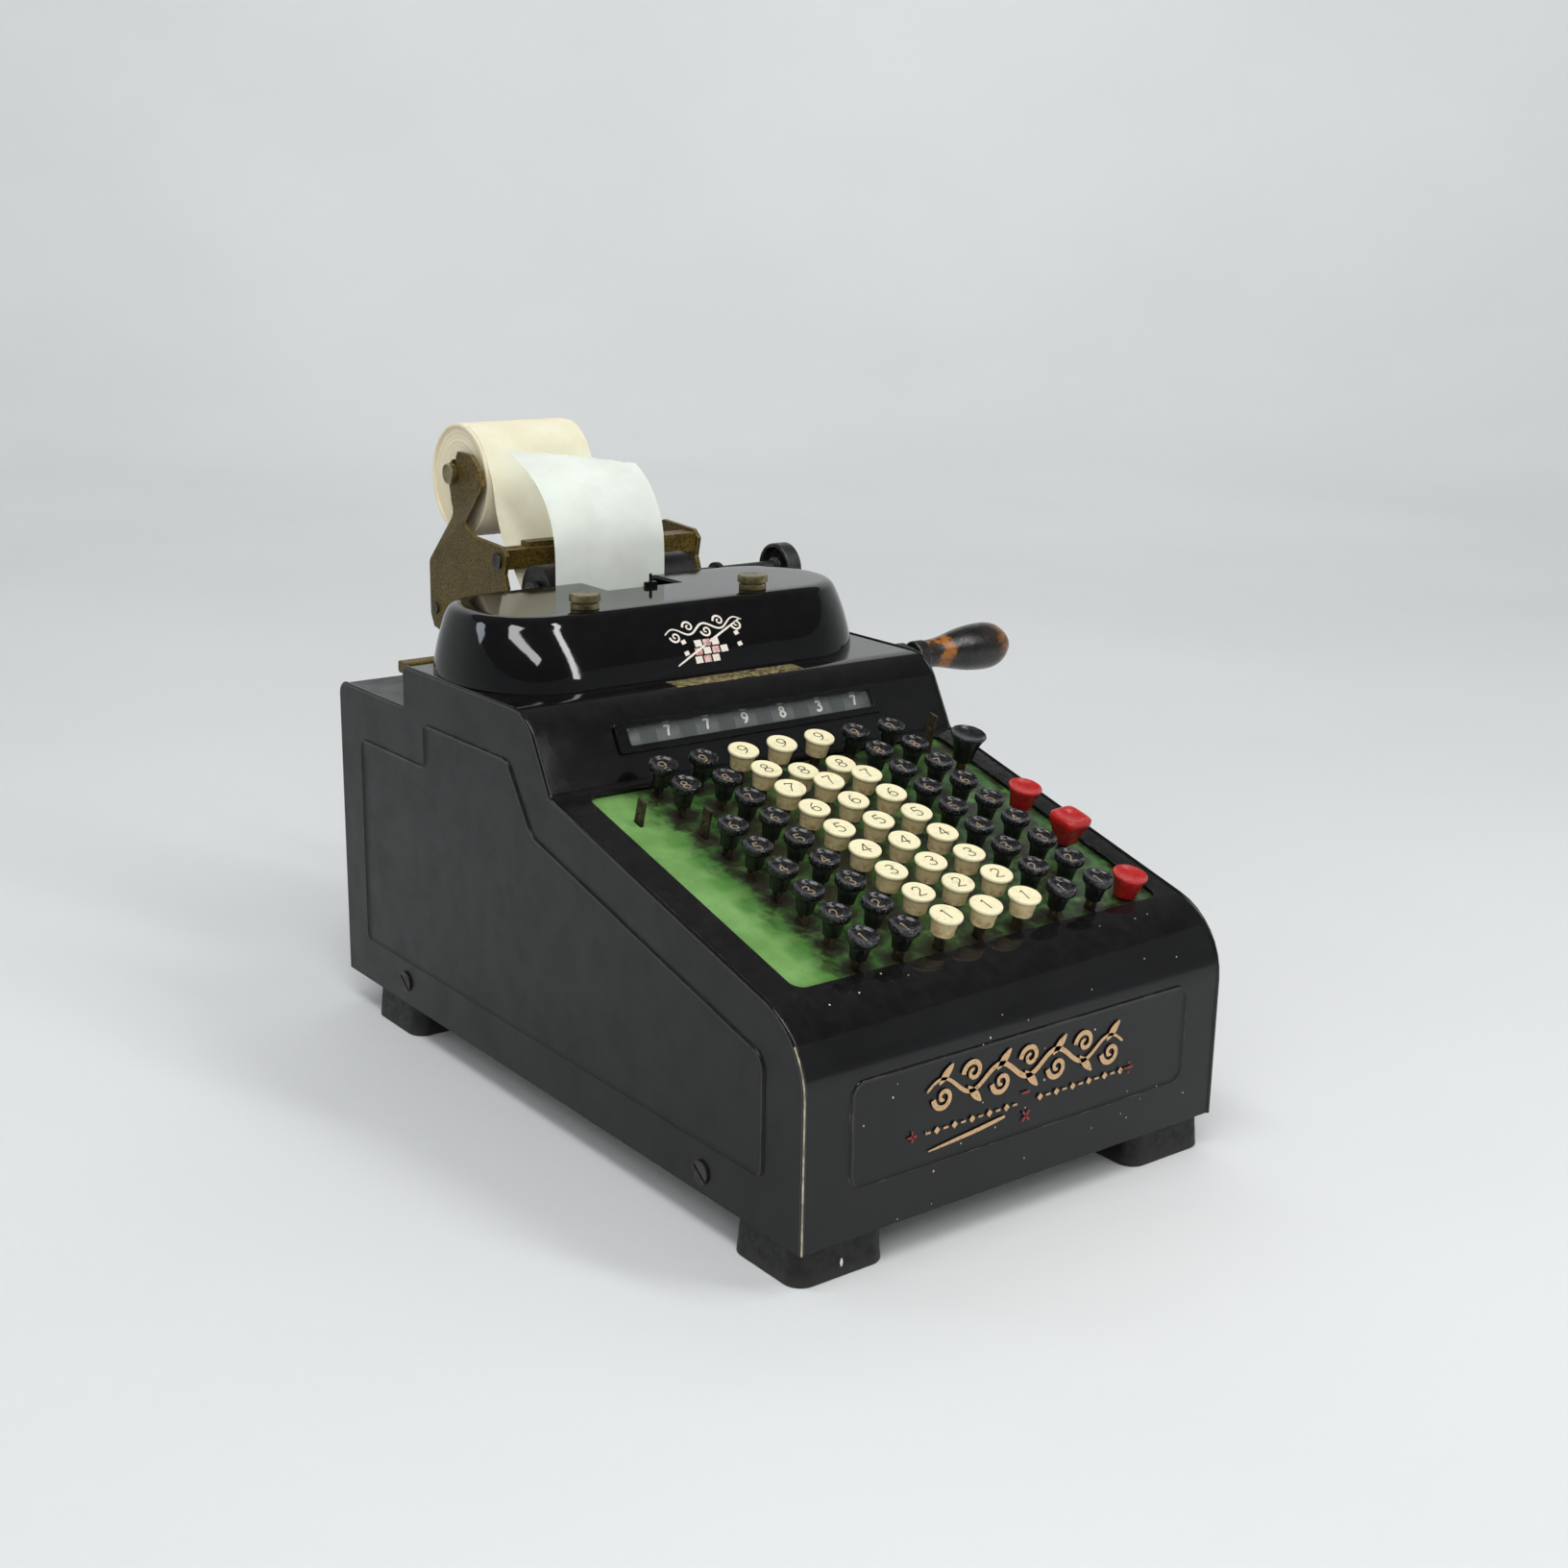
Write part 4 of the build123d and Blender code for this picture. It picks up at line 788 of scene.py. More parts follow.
# ------------------------------------------------------------------ hood
HOOD_BACK, HOOD_TOP, HOOD_WALL = 277.0, 191.6, 1.5
HOOD_FOOT, HOOD_CROWN = (-2.8, 194.4, 83.0), (1.0, 184.0, 68.0)     # middle, width and depth
TAPE_NOTCH = (3.5, 270, 190), (39, 40, 39.6)        # centre and size of what is cut out
BACK_OPENING = (4.5, 277, 177.2), (67, 12, 14)
# From the foot up: share of the way from foot to crown in plan, inset, height.
HOOD_RINGS = [(0, 0, 0.05), (0, 0, 1.0), (0.04, 0, 3.0), (0.12, 0, 6.0), (0.24, 0, 9.5), (0.41, 0, 13.5),
              (0.6, 0, 17.2), (0.8, 0, 20.6), (0.93, 0.05, 22.6), (1.0, 0.25, 24.0), (1.03, 0.8, 25.2),
              (1.05, 1.6, 26.1), (1.06, 2.7, 26.85), (1.07, 4.2, 27.28), (1.07, 6.4, 27.4), (1.07, 14, 27.4)]


def hood_plan(share, inset, z, arc=30, straight=26):
    """Outline at one height, anticlockwise from the right end of the back edge; the left end is squarer."""
    middle, width, depth = (a + (b - a) * share for a, b in zip(HOOD_FOOT, HOOD_CROWN))
    radius = depth / 2 - inset
    left, right, centre = middle - width / 2 + inset, middle + width / 2 - inset, HOOD_BACK - inset - radius
    full = radius * 0.93
    points = []
    for k in range(straight):
        points.append((right - radius + (left + full - right + radius) * k / straight, centre + radius))
    for k in range(arc):
        a = math.pi / 2 + math.pi * k / arc
        c, t = math.cos(a), math.sin(a)
        reach = (abs(c) ** 2.45 + abs(t) ** 2.45) ** (-1 / 2.45)
        points.append((left + full + full * reach * c, centre + radius * reach * t))
    for k in range(straight):
        points.append((left + full + (right - radius - left - full) * k / straight, centre - radius))
    for k in range(arc):
        a = -math.pi / 2 + math.pi * k / arc
        points.append((right - radius + radius * math.cos(a), centre + radius * math.sin(a)))
    return [at(x, y, DECK_Z + z) for x, y in points]


def block(centre, size):
    """The matrix that makes a unit cube a block; its size is in metres."""
    return Matrix.Translation(centre) @ Matrix.Diagonal((*size, 1))


def hood():
    """The hood's shell, with its notch and the opening for the tape cut out."""
    verts = [p for ring in HOOD_RINGS for p in hood_plan(*ring)]
    faces = ring_faces(len(HOOD_RINGS), len(verts) // len(HOOD_RINGS), (False, True))
    piece = link("hood_shell", gather("hood_shell", [(verts, faces, {})]))
    with editing(piece.data) as work:
        bmesh.ops.recalc_face_normals(work, faces=work.faces)
    wall = piece.modifiers.new("wall", "SOLIDIFY")
    wall.thickness, wall.offset = HOOD_WALL * MM, -1.0
    cutters = []
    for spot, size in (TAPE_NOTCH, BACK_OPENING):
        mesh = bpy.data.meshes.new("notch")
        with editing(mesh) as work:
            bmesh.ops.create_cube(work, size=1, matrix=block(at(*spot), [v * MM for v in size]))
        cutters.append(link("notch", mesh))
        cut = piece.modifiers.new("cut", "BOOLEAN")
        cut.object, cut.operation, cut.solver = cutters[-1], "DIFFERENCE", "EXACT"
    bake(piece)
    for cutter in cutters:
        bpy.data.objects.remove(cutter)
    smooth(piece.data, math.radians(45))
    weighted(piece)
    return wear_it(piece, HOOD_BLACK, "hood", "black_enamel", ["hood"])


hood_shell = hood()
case_cover = softened("case_cover", 0.35, CASE_BLACK, "black_enamel", 2, 30, (1, -1))
for vertex in case_cover.data.vertices:
    if (case_cover.matrix_world @ vertex.co).y < at(0, -0.7, 0).y:
        vertex.co.y += 0.1 * MM


SCREW_X, SCREW_Y = (("left", -45.5), ("right", 39.5)), 221.5
KNURL = 0.955       # radius in the knurl's grooves over the radius outside


def thumb_screws():
    """Two-tier knurled screws."""
    profile = [(0.01, -12), (2, -12), (2, 0), (5.7, 0), (5.9, 0.25), (5.9, 2.1), (5.6, 2.4), (4.95, 2.5), (4.8, 2.8),
               (5.5, 3.0), (6.3, 3.15), (6.5, 3.4), (6.5, 5.6), (6.3, 5.95), (5.9, 6.15), (5.5, 6.2), (4.6, 6.05),
               (0.01, 6.0)]
    for side, x in SCREW_X:
        verts, faces, _ = lathe(profile, 144)
        for k, v in enumerate(verts):
            if k % 2 and math.hypot(v.x, v.y) > 5.65 * MM:
                v.x, v.y = v.x * KNURL, v.y * KNURL
        spot = at(x, SCREW_Y, HOOD_TOP)
        node = "thumb_screw_" + side
        solid(node + "_knurled", [([v + spot for v in verts], faces, {})], BRASS, node, "brass", [node],
              math.radians(25))


thumb_screws()


def surface_placer(piece, origin, across, up, inward, lift=0.05):
    """Puts 2-D millimetres onto a piece's surface by looking along inward, from 30 mm off."""
    away = 0.03
    bpy.context.view_layer.update()
    tree = BVHTree.FromObject(piece, bpy.context.evaluated_depsgraph_get())

    def place(p):
        start = origin + across * p.x * MM + up * p.y * MM - inward * away
        spot, normal = tree.ray_cast(start, inward)[:2]
        return spot + normal * lift * MM if spot else start + inward * away
    return place


# ------------------------------------------------------------------ painted ornaments (no lettering)
def dash(start, end, width, place, steps=3):
    return ribbon(curve_through([start, end], steps), width, place)


def volute(centre, radius, turns):
    """A line that winds inward from the left; negative turns wind clockwise."""
    count = int(abs(turns) * 26)
    points = []
    for k in range(count + 1):
        t = k / count
        a, r = math.pi + 2 * math.pi * turns * t, radius * (1 - 0.86 * t ** 0.9)
        points.append((centre[0] + r * math.cos(a), centre[1] + r * math.sin(a)))
    return points


def leaf(root, tip, width, place):
    """A pointed leaf between two points."""
    root, tip = Vector(root), Vector(tip)
    line = [root.lerp(tip, k / 8) for k in range(9)]
    return ribbon(line, lambda t: 0.15 + width * math.sin(math.pi * min(0.98, t * 0.9 + 0.04)), place)


def vine(origin, slant, length, height, pitch, weight, place):
    """A running scroll: a wavy stem with a volute and a leaf in every bay, over and under it by turns."""
    def seat(x, y):
        return (origin[0] + x, origin[1] + y + slant * x)
    bays = int(round(length / pitch))
    stem_line = [seat(length * k / 80, 0.22 * height * math.sin(math.pi * bays * k / 80)) for k in range(81)]
    parts = [ribbon(stem_line, lambda t: weight * (0.35 + 0.65 * math.sin(math.pi * (0.06 + 0.88 * t))), place)]
    for k in range(bays):
        side = 1 if k % 2 else -1
        x = pitch * (k + 0.5)
        centre = seat(x + 0.06 * pitch, side * 0.2 * height)
        parts.append(ribbon(volute(centre, 0.34 * pitch, -1.3 * side), lambda t: weight * (1.05 - 0.45 * t), place))
        if weight > 1.2:
            parts.append(leaf(seat(x - 0.1 * pitch, -side * 0.1 * height),
                              seat(x + 0.36 * pitch, -side * 0.5 * height), weight * 1.5, place))
    return parts


def hood_mark():
    """A cream scroll over a slanting rule and a small chequered tile."""
    place = surface_placer(hood_shell, at(0, 194, DECK_Z), Vector((1, 0, 0)), Vector((0, 0.54, 0.842)),
                           Vector((0, 0.842, -0.54)))
    parts = vine((-19.0, 18.4), 0.075, 40, 8.5, 8.0, 0.95, place)
    parts.append(ribbon(curve_through([(-17, 4.6), (0, 12.6), (20.4, 22.0)], 8),
                        lambda t: 0.55 + 0.45 * math.sin(math.pi * min(1, t * 1.1) * 0.95), place))
    for x, y in ((-11.4, 9.4), (-11.4, 14.4), (15.9, 10.6), (15.9, 15.6)):
        parts.append(dash((x - 1.1, y - 0.3), (x + 1.1, y + 0.3), 1.8, place))
    tiles = []
    for row in range(3):
        for column in range(4):
            x, y = -4.6 + column * 4.3 - row * 0.8, 13.0 - row * 3.5
            square = dash((x - 1.75, y), (x + 1.75, y + 0.1), 2.9, place, 4)
            if (row + column) % 2 == 0:
                parts.append(square)
            elif column < 3:
                tiles.append(square)
    mark("hood_scroll", parts, 0.05, CREAM_INK, "hood", "ivory_plastic")
    mark("hood_tile", tiles, 0.05, ROSE_INK, "hood", "red_plastic")


hood_mark()


def front_mark():
    """Tan running scroll over two rows of beads and a tapered rule, with red arithmetic signs."""
    def place(p):
        return at(p.x, -FIELD + 0.085, p.y)
    parts = vine((-47.5, 58.6), -0.035, 96, 17, 13.7, 2.0, place)
    for k in range(24):
        x, z = -46.4 + k * 4.12, 43.2
        if -4.5 < x < 3.5:
            continue
        if k % 2:
            line = [(x - 1.3, z), (x, z), (x + 1.3, z)]
            parts.append(ribbon(line, lambda t: 0.3 + 2.6 * (1 - abs(2 * t - 1)), place))
        else:
            parts.append(ribbon([(x - 1.1, z), (x + 1.1, z)], 0.8, place))
    parts.append(ribbon(curve_through([(-46, 36.1), (-24, 38.2), (-10, 40.0)], 8),
                        lambda t: 0.4 + 3.6 * t * (1.15 - t), place))
    mark("front_scroll", parts, 0.03, TAN_INK, "case", "brass")
    plus = [(-55.6, 43.5, -51.4, 43.5), (-53.5, 41.4, -53.5, 45.6)]
    divide = [(50.8, 43.4, 55.0, 43.4), (52.9, 45.0, 52.9, 45.8), (52.9, 41.0, 52.9, 41.8)]
    times = [(-1.2, 35.6, 2.2, 39.4), (-1.2, 39.4, 2.2, 35.6)]
    minus = [(-1.9, 46.8, 1.9, 46.8)]
    signs = [dash(bar[:2], bar[2:], 0.8, place) for bar in plus + divide + times + minus]
    mark("front_signs", signs, 0.03, RED_INK, "case", "red_plastic")


front_mark()


def deck_transfer():
    """A strip of worn gold on the rounded front edge of the deck."""
    place = surface_placer(case_cover, at(0, 186.5, DECK_Z), Vector((1, 0, 0)), Vector((0, 0.97, 0.24)),
                           Vector((0, 0.24, -0.97)), 0.06)
    line = [Vector((-26.6 + 64 * k / 40, 0.3 * noise.noise(Vector((k * 0.7, 0, 0))))) for k in range(41)]
    parts = []
    for row in range(6):
        shift = Vector((0, -4.2 + row * 1.5))
        width = 1.9 if 0 < row < 5 else (lambda t: 1.3 + 0.9 * noise.noise(Vector((t * 22, 3, 0))))
        parts.append(ribbon([p + shift for p in line], width, place))
    mark("deck_transfer", parts, 0.04, FOIL, "case", "brass")


deck_transfer()


def paint_chips():
    """Pale chips in the enamel of the nose and the front, and one in the front foot."""
    place = surface_placer(case_cover, at(0, 8, 78), Vector((1, 0, 0)), Vector((0, 0.7, 0.7)),
                           Vector((0, 0.71, -0.71)), 0.02)
    parts = []
    for _ in range(34):
        spot = Vector((random.uniform(-92, 90), random.uniform(-52, 26)))
        size = random.choice((0.28, 0.34, 0.4, 0.55))
        parts.append(ribbon([spot, spot + Vector((size * 0.9, size * 0.4))], size, place))
    foot = surface_placer(nodes["feet"], at(-81.4, 3, 3.4), Vector((1, 0, 0)), Vector((0, 0, 1)),
                          Vector((0, 1, 0)), 0.03)
    parts.append(ribbon([(0, -1.5), (0.1, 0), (0.2, 1.4)], lambda t: 0.5 + 0.9 * math.sin(math.pi * t), foot))
    mark("paint_chips", parts, 0.03, CREAM_INK, "case", "ivory_plastic")


paint_chips()


# ------------------------------------------------------------------ register window
DIAL_STEP = 36              # degrees from one numeral to the next
WINDOW_ANGLE = 146          # where a numeral stands in the middle of the window
SHOWN = {2: 7, 3: 7, 4: 9, 5: 8, 6: 3, 7: 7}    # wheel: numeral; the first wheel stands between two


def wheel_digits():
    """White numerals round each dial."""
    low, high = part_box("number_wheels")
    axis = Vector((0, (low.y + high.y) / 2, (low.z + high.z) / 2))
    radius = (high.z - low.z) / 2
    parts = []
    for column in range(1, 8):
        for number in range(10):
            turn = math.radians(DIAL_STEP * (number - SHOWN.get(column, 0)) + WINDOW_ANGLE
                                - (DIAL_STEP // 2 if column == 1 else 0))

            def place(p, turn=turn, column=column):
                a = turn - p.y * MM / radius
                reach = radius + 0.04 * MM
                return Vector((MID_X + (column_x(column) + p.x) * MM, axis.y + reach * math.cos(a),
                               axis.z + reach * math.sin(a)))
            parts.extend(digit_strokes(number, 0.66, 1.0, place))
    mark("dial_numerals", parts, 0.05, WHITE_INK, "number_wheels", "dial")


wheel_digits()


# ------------------------------------------------------------------ edge beads and small parts
def rounded_path(corners):
    """Points along a polyline of (y, z, radius) with its corners rounded, 9 degrees apart."""
    points = [Vector(corners[0][:2])]
    for before, corner, after in zip(corners, corners[1:], corners[2:]):
        here, radius = Vector(corner[:2]), corner[2]
        back, on = (Vector(before[:2]) - here).normalized(), (Vector(after[:2]) - here).normalized()
        half = back.angle(on) / 2
        centre = here + (back + on).normalized() * radius / math.sin(half)
        start = here + back * radius / math.tan(half) - centre
        turn = math.pi - 2 * half
        sign = 1 if back.x * on.y - back.y * on.x < 0 else -1
        steps = max(2, int(turn / math.radians(9)))
        for k in range(steps + 1):
            a = sign * turn * k / steps
            points.append(centre + Vector((start.x * math.cos(a) - start.y * math.sin(a),
                                           start.x * math.sin(a) + start.y * math.cos(a))))
    points.append(Vector(corners[-1][:2]))
    return points


def tube(path, x, radius, segments=10):
    """A round bead along (y, z) points at one x."""
    verts = []
    for i, p in enumerate(path):
        along = (path[min(len(path) - 1, i + 1)] - path[max(0, i - 1)]).normalized()
        out = Vector((-along.y, along.x))
        for k in range(segments):
            a = 2 * math.pi * k / segments
            q = p + out * radius * math.cos(a)
            verts.append(at(x + radius * math.sin(a), q.x, q.y))
    return verts, ring_faces(len(path), segments, (False, False), flip=True), {}


# The upper outline of the side panels: y, z and the radius of the corner.
EDGE = [(0.35, 12.5, 0), (0.35, 90.6, 29.7), (159.1, 134.1, 4), (175.6, 163.85, 17.2), (275.2, 163.85, 3),
        (275.2, 146.05, 2.5), (335.6, 146.05, 5.2), (335.6, 12.5, 0)]
BEAD_X, BEAD_RADIUS = 100.3, 0.95
WORN_X, WORN_RADIUS = -100.75, 0.34


def beads():
    """The rolled edges, and the bare metal that shows on the left one at the front."""
    path = rounded_path(EDGE)
    for side in (-1, 1):
        solid(f"bead_{side}", [tube(path, side * BEAD_X, BEAD_RADIUS)], BEAD_BLACK, "case", "black_enamel")
    worn = [p + Vector((-0.62, 0.1)) for p in path if p.x < 9 and p.y < 87]
    solid("worn_edge", [tube(worn, WORN_X, WORN_RADIUS, 8)], BARE_EDGE, "case", "steel")


beads()


def small_block(name, low, high):
    """A black block with rounded edges, on the hood."""
    mesh = bpy.data.meshes.new(name)
    with editing(mesh) as work:
        bmesh.ops.create_cube(work, size=1, matrix=block((low + high) / 2, high - low))
        bmesh.ops.bevel(work, geom=list(work.edges), offset=0.3 * MM, segments=2, affect="EDGES")
    wear_it(link(name, mesh), HOOD_BLACK, "hood", "black_enamel")


CORE = 6.1, 7.3, 7.4        # radii of the pasteboard core, inside and outside, and of the first layer
LAYERS = 46


def paper_roll():
    """The roll: wound layers with a slightly recessed end, on a pasteboard core."""
    low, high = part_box("paper_roll")
    centre, outer, half = (low + high) / 2, (high.z - low.z) / 2 / MM, (high.x - low.x) / 2 / MM
    wind, layer = [], []
    bore, core, first = CORE
    for k in range(LAYERS + 1):
        r = first + (outer - 0.35 - first) * k / LAYERS
        recess = 0.15 if r > outer - 1.3 else 1.25 - 0.5 * (1 - r / outer)
        wind.append((r, recess + random.uniform(-0.06, 0.06)))
        layer.append(random.random())
    profile = [(bore, -half + 1.0), (core, -half + 0.9)] + [(r, -half + d) for r, d in wind]
    shades = [0.0, 0.0] + layer
    profile += [(outer - 0.03, -half + 0.4), (outer, -half + 1.2), (outer, 0), (outer, half - 1.2),
                (outer - 0.1, half - 0.2)]
    shades += [0.2] * 5
    profile += [(r, half - d) for r, d in reversed(wind)] + [(core, half - 0.9), (bore, half - 1.0)]
    shades += list(reversed(layer)) + [0.0, 0.0]
    segments = 96
    verts, values = [], []
    for (r, x), shade in zip(profile, shades):
        for k in range(segments):
            a = 2 * math.pi * k / segments
            verts.append(centre + Vector((x, r * math.cos(a), r * math.sin(a))) * MM)
            values.append(shade)
    faces = ring_faces(len(profile), segments, (False, False), flip=True, closed=True)
    solid("roll_wound", [(verts, faces, {"layer": values})], ROLL_PAPER, "paper_roll", "paper", ["paper_roll"])


paper_roll()


def sheet(name, path, x0, x1, material, rows, end=lambda u: 1.0, sway=lambda u, v: (0.0, 0.0), replaced=()):
    """A thin web through (y, z) points; end says how far along each strip across goes, and sway bends it."""
    line = curve_through(path, 7)
    lengths = [0.0]
    for a, b in zip(line, line[1:]):
        lengths.append(lengths[-1] + (b - a).length)

    def along(v):
        want = v * lengths[-1]
        for i in range(len(line) - 1):
            if lengths[i + 1] >= want:
                return line[i].lerp(line[i + 1], (want - lengths[i]) / (lengths[i + 1] - lengths[i]))
        return line[-1]
    steps = len(line) - 1
    verts, faces = [], []
    for i in range(steps + 1):
        for k in range(rows + 1):
            u, v = k / rows, i / steps
            p = along(v * end(u))
            dy, dz = sway(u, v)
            verts.append(at(x0 + (x1 - x0) * u, p.x + dy, p.y + dz))
    for i in range(steps):
        for k in range(rows):
            a = i * (rows + 1) + k
            faces.append((a, a + 1, a + rows + 2, a + rows + 1))
    piece = link(name, gather(name, [(verts, faces, {})]))
    thicken(piece, SHEET_THICKNESS)
    smooth(piece.data, math.radians(60))
    return wear_it(piece, material, "case", "paper", replaced)


ROLL_Y, ROLL_Z, WEB_RADIUS = 364.5, 226.2, 26.35        # the roll's axis, and where the web leaves it
SHEET_THICKNESS = 0.12


def tape():
    """The web from the roll under the platen, and the free end that curls back over the bar, torn off askew."""
    turn = [(ROLL_Y + WEB_RADIUS * math.cos(math.radians(a)), ROLL_Z + WEB_RADIUS * math.sin(math.radians(a)))
            for a in (104, 118, 132, 146)]
    web = turn + [(336.4, 229), (332.4, 214), (326.5, 202), (315, 187.6), (305.0, 175.2), (299.6, 170.8), (294, 169.6),
                  (286.6, 171.8), (282.6, 175.6)]
    sheet("tape_web", web, -22.6, 32.8, WEB_PAPER, 8)
    free = [(282.6, 175.4), (280.4, 180), (279.8, 190.4), (279.8, 200), (280.6, 209), (283.6, 218), (289, 226.4),
            (297, 233.6), (306.5, 238.8), (315, 241.8), (323.6, 243.6)]

    def end(u):
        return 1 - 0.235 * u ** 0.85 - 0.006 * math.sin(37 * u) - 0.004 * math.sin(91 * u + 1)

    def sway(u, v):
        lift = max(0.0, v - 0.45) ** 2
        belly = math.sin(math.pi * u) * lift
        return -2.2 * belly, 1.4 * belly + 1.2 * (1 - u) * lift
    sheet("tape_free", free, -24.0, 33.0, TAPE_PAPER, 40, end, sway, ["paper_tape"])


tape()


# The black tape finger in the hood's notch.
small_block("tape_finger", at(2.6, 248.6, 189.0), at(8.6, 251.0, 193.6))
small_block("tape_finger_arm", at(5.0, 249.2, 193.2), at(6.2, 250.4, 197.2))

# ------------------------------------------------------------------ CAD nodes with rounded corners
# The hooked arm: where the corners of its outline go, in y and z.
ARM_MOVES = [((358, 212), (362.8, 211.5)), ((352, 241.5), (359.4, 240.2)), ((341, 240.5), (348.0, 239.8)),
             ((330, 234), (338.8, 233.0)), ((329.5, 222), (336.4, 224.2)), ((343.5, 208.5), (348.6, 209.2)),
             ((364.5, 229.6), (364.5, 229.6)), ((361.3, 236), (361.3, 236.4)), ((368.5, 230), (368.8, 229.0)),
             ((383, 186), (383, 187.2)), ((340, 204), (342.5, 204.2)), ((315, 202.5), (315, 202.5)),
             ((377, 165), (377, 165)), ((318, 196), (318, 196)), ((383, 160), (383, 160)), ((300, 165), (300, 165))]
CREASE, CREASE_NORMAL = (347.9, 205.7), (0.462, 0.886)     # the slanting crease, and the way up from it
BEND_LENGTH, LEAN = 12.0, 3.6       # how far above the crease the arm has leant in, and by how much
HEAD_SHIFT = 4.4                    # how far the spindle's head follows it
# The inner arm, which the roll hides.
HIDDEN_MOVES = [((330, 234), (346.0, 233.0)), ((329.5, 222), (345.0, 223.0)), ((341, 240.5), (351.0, 239.0)),
                ((352, 241.5), (357.0, 240.0)), ((343.5, 208.5), (349.0, 209.2))]
HIDDEN_MOVES += [move for move in ARM_MOVES if move[0][0] > 353 or move[0][0] < 320 or move[0] == (340, 204)]


def leaning_arm(moves, lean):
    """Moves the corners of an arm's outline, and leans it over sideways above the crease."""
    normal = Vector((0,) + CREASE_NORMAL)
    start = at(0, *CREASE)

    def shape(work):
        for distance in (0.0, BEND_LENGTH) if lean else ():
            bmesh.ops.bisect_plane(work, geom=work.verts[:] + work.edges[:] + work.faces[:], dist=1e-7,
                                   plane_co=start + normal * distance * MM, plane_no=normal)
        for vert in work.verts:
            above = (vert.co - start).dot(normal) / MM
            if above < -3:
                continue
            shift, total = Vector(), 0.0
            for old, new in moves:
                source = at(0, *old)
                weight = max(math.hypot(vert.co.y - source.y, vert.co.z - source.z), 1e-6) ** -4
                shift += (at(0, *new) - source) * weight
                total += weight
            vert.co += shift / total
            if above > 0 and vert.co.z > start.z:
                vert.co.x += lean * MM * min(1.0, above / BEND_LENGTH)
    return shape


def short_head(work):
    """The spindle's head, left of x = -28, follows the arm inward."""
    for vert in work.verts:
        if vert.co.x < at(-28, 0, 0).x:
            vert.co.x += HEAD_SHIFT * MM


# Node, width of the rounded corners, material, slot and what else softened() takes.
for node, width, material, slot, more in (
        ("side_panel_left", 0.5, CHARCOAL, "charcoal_enamel", {"limit": 30, "raised": (0, -1)}),
        ("side_panel_right", 0.5, CHARCOAL, "charcoal_enamel", {"limit": 30, "raised": (0, 1)}),
        ("rear_cover", 0.35, CHARCOAL, "charcoal_enamel", {}),
        ("feet", 1.0, RUBBER, "rubber", {"segments": 3}),
        ("window_bezel", 0.5, HOOD_BLACK, "black_enamel", {"segments": 3}),
        ("roll_bracket_left", 0.45, BRONZE, "bronze_enamel", {"segments": 3, "shaped": leaning_arm(ARM_MOVES, LEAN)}),
        ("roll_bracket_right", 0.45, BRONZE, "bronze_enamel", {"segments": 3, "shaped": leaning_arm(HIDDEN_MOVES, 0)}),
        ("cross_bar", 0.4, BRONZE, "bronze_enamel", {"segments": 3}),
        ("carriage_rail", 0.4, BRONZE, "bronze_enamel", {}),
        ("case_screws", 0.25, DARK_STEEL, "dark_steel", {}),
        ("bracket_screws", 0.3, DARK_STEEL, "dark_steel", {}),
        ("roll_spindle", 0.5, BRASS, "dark_steel", {"shaped": short_head}),
        ("crank_arm", 0.5, DARK_STEEL, "dark_steel", {}),
        ("platen_knob", 0.8, KNOB_STEEL, "dark_steel", {"segments": 3}),
        ("grip_ferrule", 0.8, DARK_STEEL, "dark_steel", {"segments": 3})):
    softened(node, width, material, slot, **more)
for material, names in ((GRIP, ["grip"]), (GREEN, ["key_plate"]), (GLASS, ["window_glass"]), (PLATEN, ["platen"]),
                        (DARK_STEEL, ["platen_brackets", "base_pan"]), (DIAL, ["number_wheels"]),
                        (STEEL, ["type_sectors", "inner_frames", "cross_shafts", "stem_guide", "crank_shaft",
                                 "grip_spindle"]),
                        (STEM, ["stem_zero", "stem_back", "stems_latched"]
                         + [f"stems_row_{row}" for row in range(1, 10)])):
    for name in names:
        repaint(name, material)


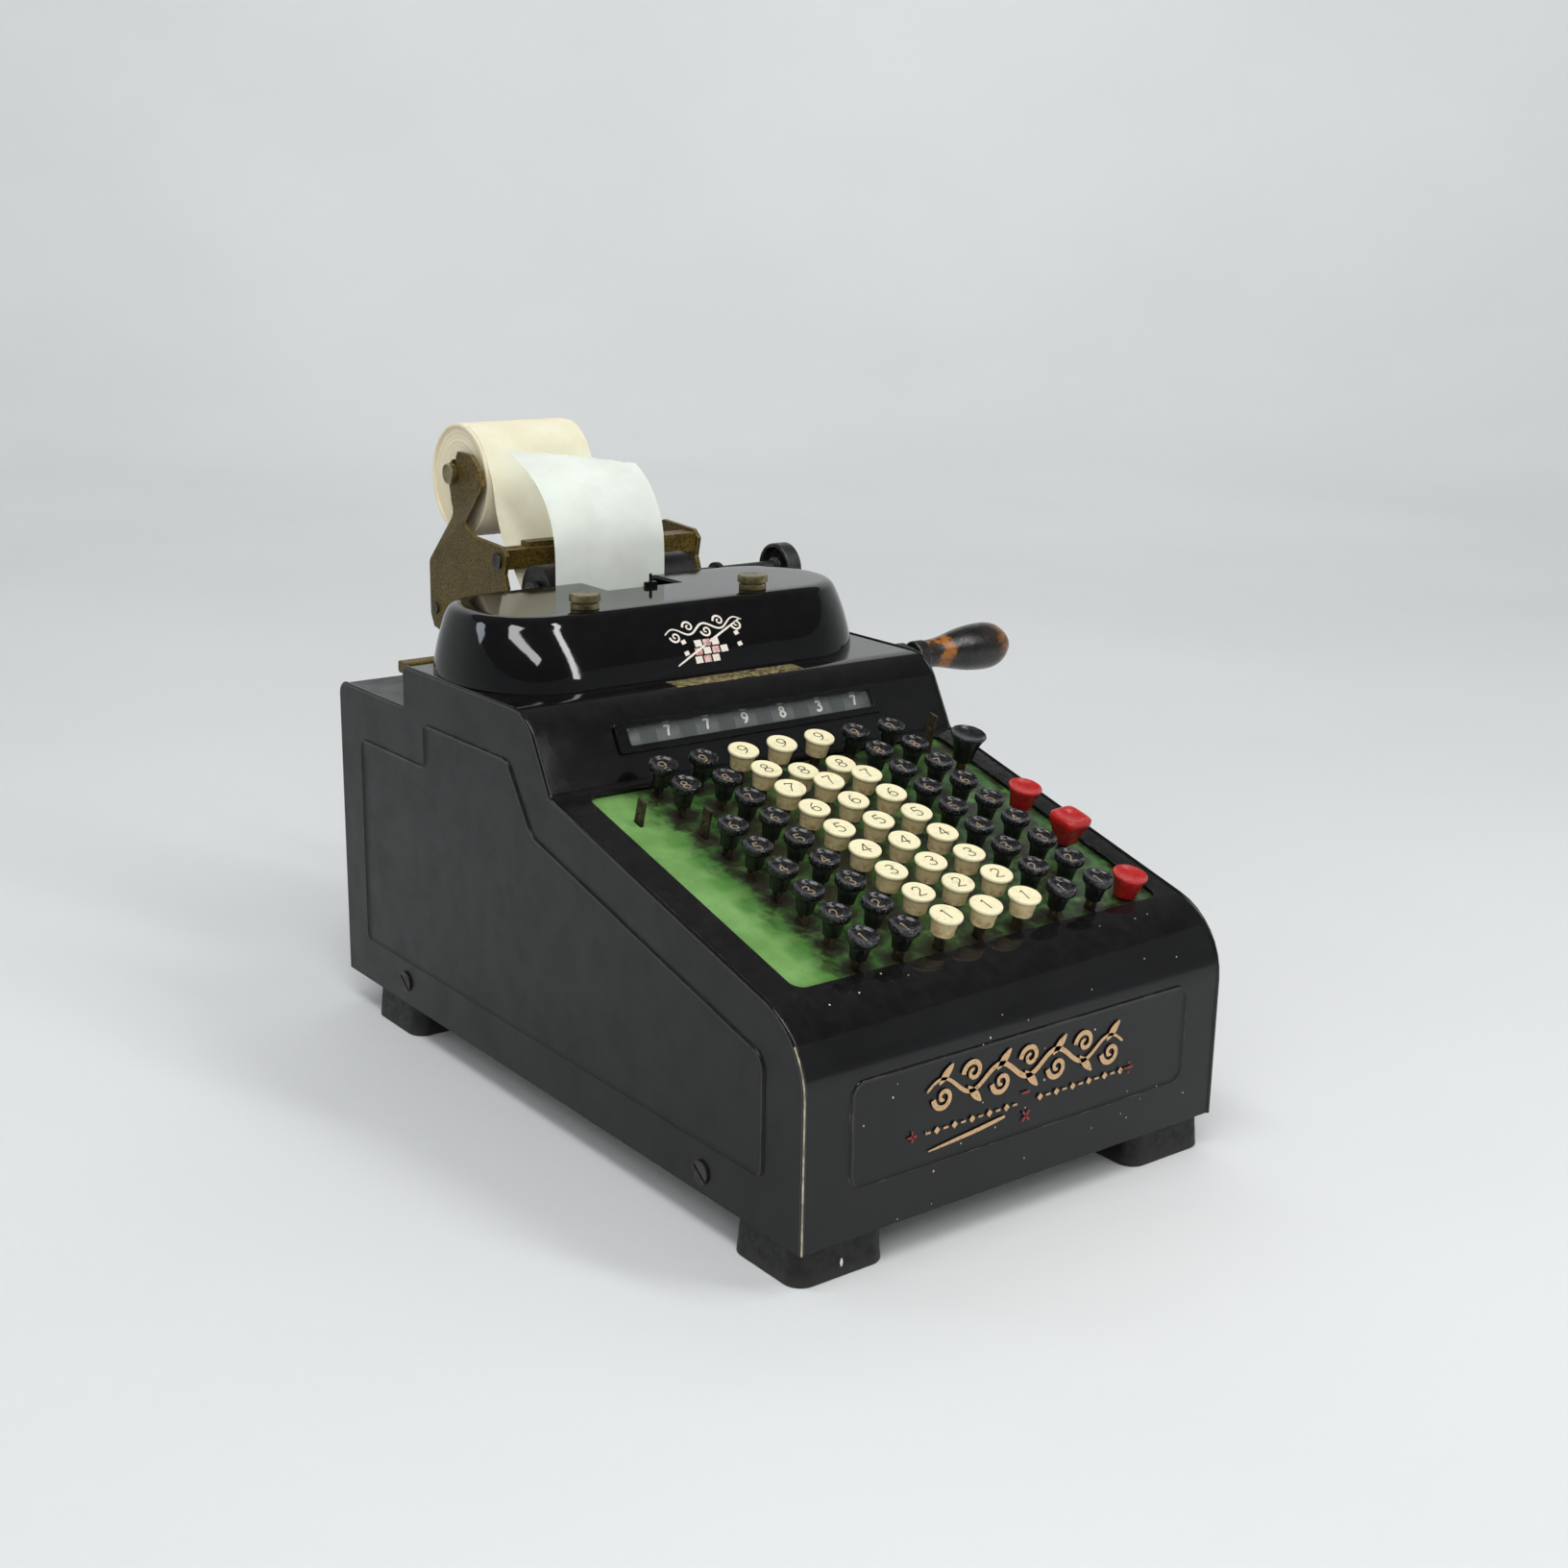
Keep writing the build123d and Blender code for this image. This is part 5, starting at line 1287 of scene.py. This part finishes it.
# ------------------------------------------------------------------ stage and light
def stage():
    """A pale floor that rises into a seamless backdrop all round."""
    g = Graph("backdrop")
    tint = g.mix(g.patches(1.6, 3, 0.5, 0.3, 0.7), srgb(221, 223, 223), srgb(226, 228, 228))
    tint = g.mix(g.times(g.patches(14, 5, 0.65, 0.6, 0.85), 0.12), tint, srgb(206, 208, 208))
    look = g.finish(tint, 0.8, g.bump(g.noise(60, 4, 0.6), 0.0003))
    reach, sweep, top = 1.9, 1.4, 2.4       # metres: the flat floor, the curve's radius and the wall's height
    profile = [(0.001, 0), (0.6, 0), (1.2, 0), (reach, 0)]
    profile += [(reach + sweep * math.sin(a), sweep - sweep * math.cos(a))
                for a in (math.pi / 2 * k / 14 for k in range(1, 15))]
    profile += [(reach + sweep, top)]
    verts, count = [], 96
    for r, z in profile:
        for k in range(count):
            a = 2 * math.pi * k / count
            verts.append((r * math.cos(a), r * math.sin(a), z))
    faces = ring_faces(len(profile), count, (True, False))
    piece = link("backdrop", gather("backdrop", [(verts, faces, {})]))
    smooth(piece.data)
    piece.data.materials.append(look)


stage()


def soft_light(name, spot, aim, size, watts, colour=(1, 1, 1), along=None, mirrored=True):
    """Area light; along gives the direction of its second side, and mirrored says if gloss shows it."""
    data = bpy.data.lights.new(name, "AREA")
    data.shape, data.size, data.size_y = "RECTANGLE", size[0], size[1]
    data.energy, data.color = watts, colour
    light = bpy.data.objects.new(name, data)
    bpy.context.scene.collection.objects.link(light)
    light.location = spot
    away = (Vector(spot) - Vector(aim)).normalized()
    if along is None:
        light.rotation_euler = (-away).to_track_quat("-Z", "Y").to_euler()
    else:
        along = (Vector(along) - away * away.dot(Vector(along))).normalized()
        light.rotation_euler = Matrix((along.cross(away), along, away)).transposed().to_euler()
    light.visible_glossy = mirrored


world = bpy.data.worlds.new("studio")
bpy.context.scene.world = world
world.use_nodes = True
world.node_tree.nodes["Background"].inputs[0].default_value = (0.93, 0.96, 1.0, 1)
world.node_tree.nodes["Background"].inputs[1].default_value = 0.13
CROWN = (-0.09, 0.01, 0.18)
soft_light("overhead", (-0.05, 0.3, 2.3), (-0.05, 0.2, 0), (2.8, 2.4), 9, mirrored=False)
soft_light("fill", (-1.25, -1.5, 1.15), (-0.05, 0, 0.1), (2.2, 1.4), 20, mirrored=False)
soft_light("backdrop_wash", (1.3, 1.6, 2.7), (2.3, 2.9, 0.5), (3.2, 1.4), 38, mirrored=False)
soft_light("strip_left", (-0.57, -0.45, 1.74), CROWN, (0.26, 1.2), 11, along=(0.29, -0.65, -0.13))
soft_light("strip_right", (0.573, -0.887, 1.415), CROWN, (0.14, 1.25), 8.5, along=(0.125, -0.934, -0.83))
soft_light("window_back", (-1.1, 1.0, 1.2), CROWN, (0.35, 0.25), 1.5, (0.8, 0.88, 1.0))
bpy.context.scene.view_settings.view_transform = "Standard"
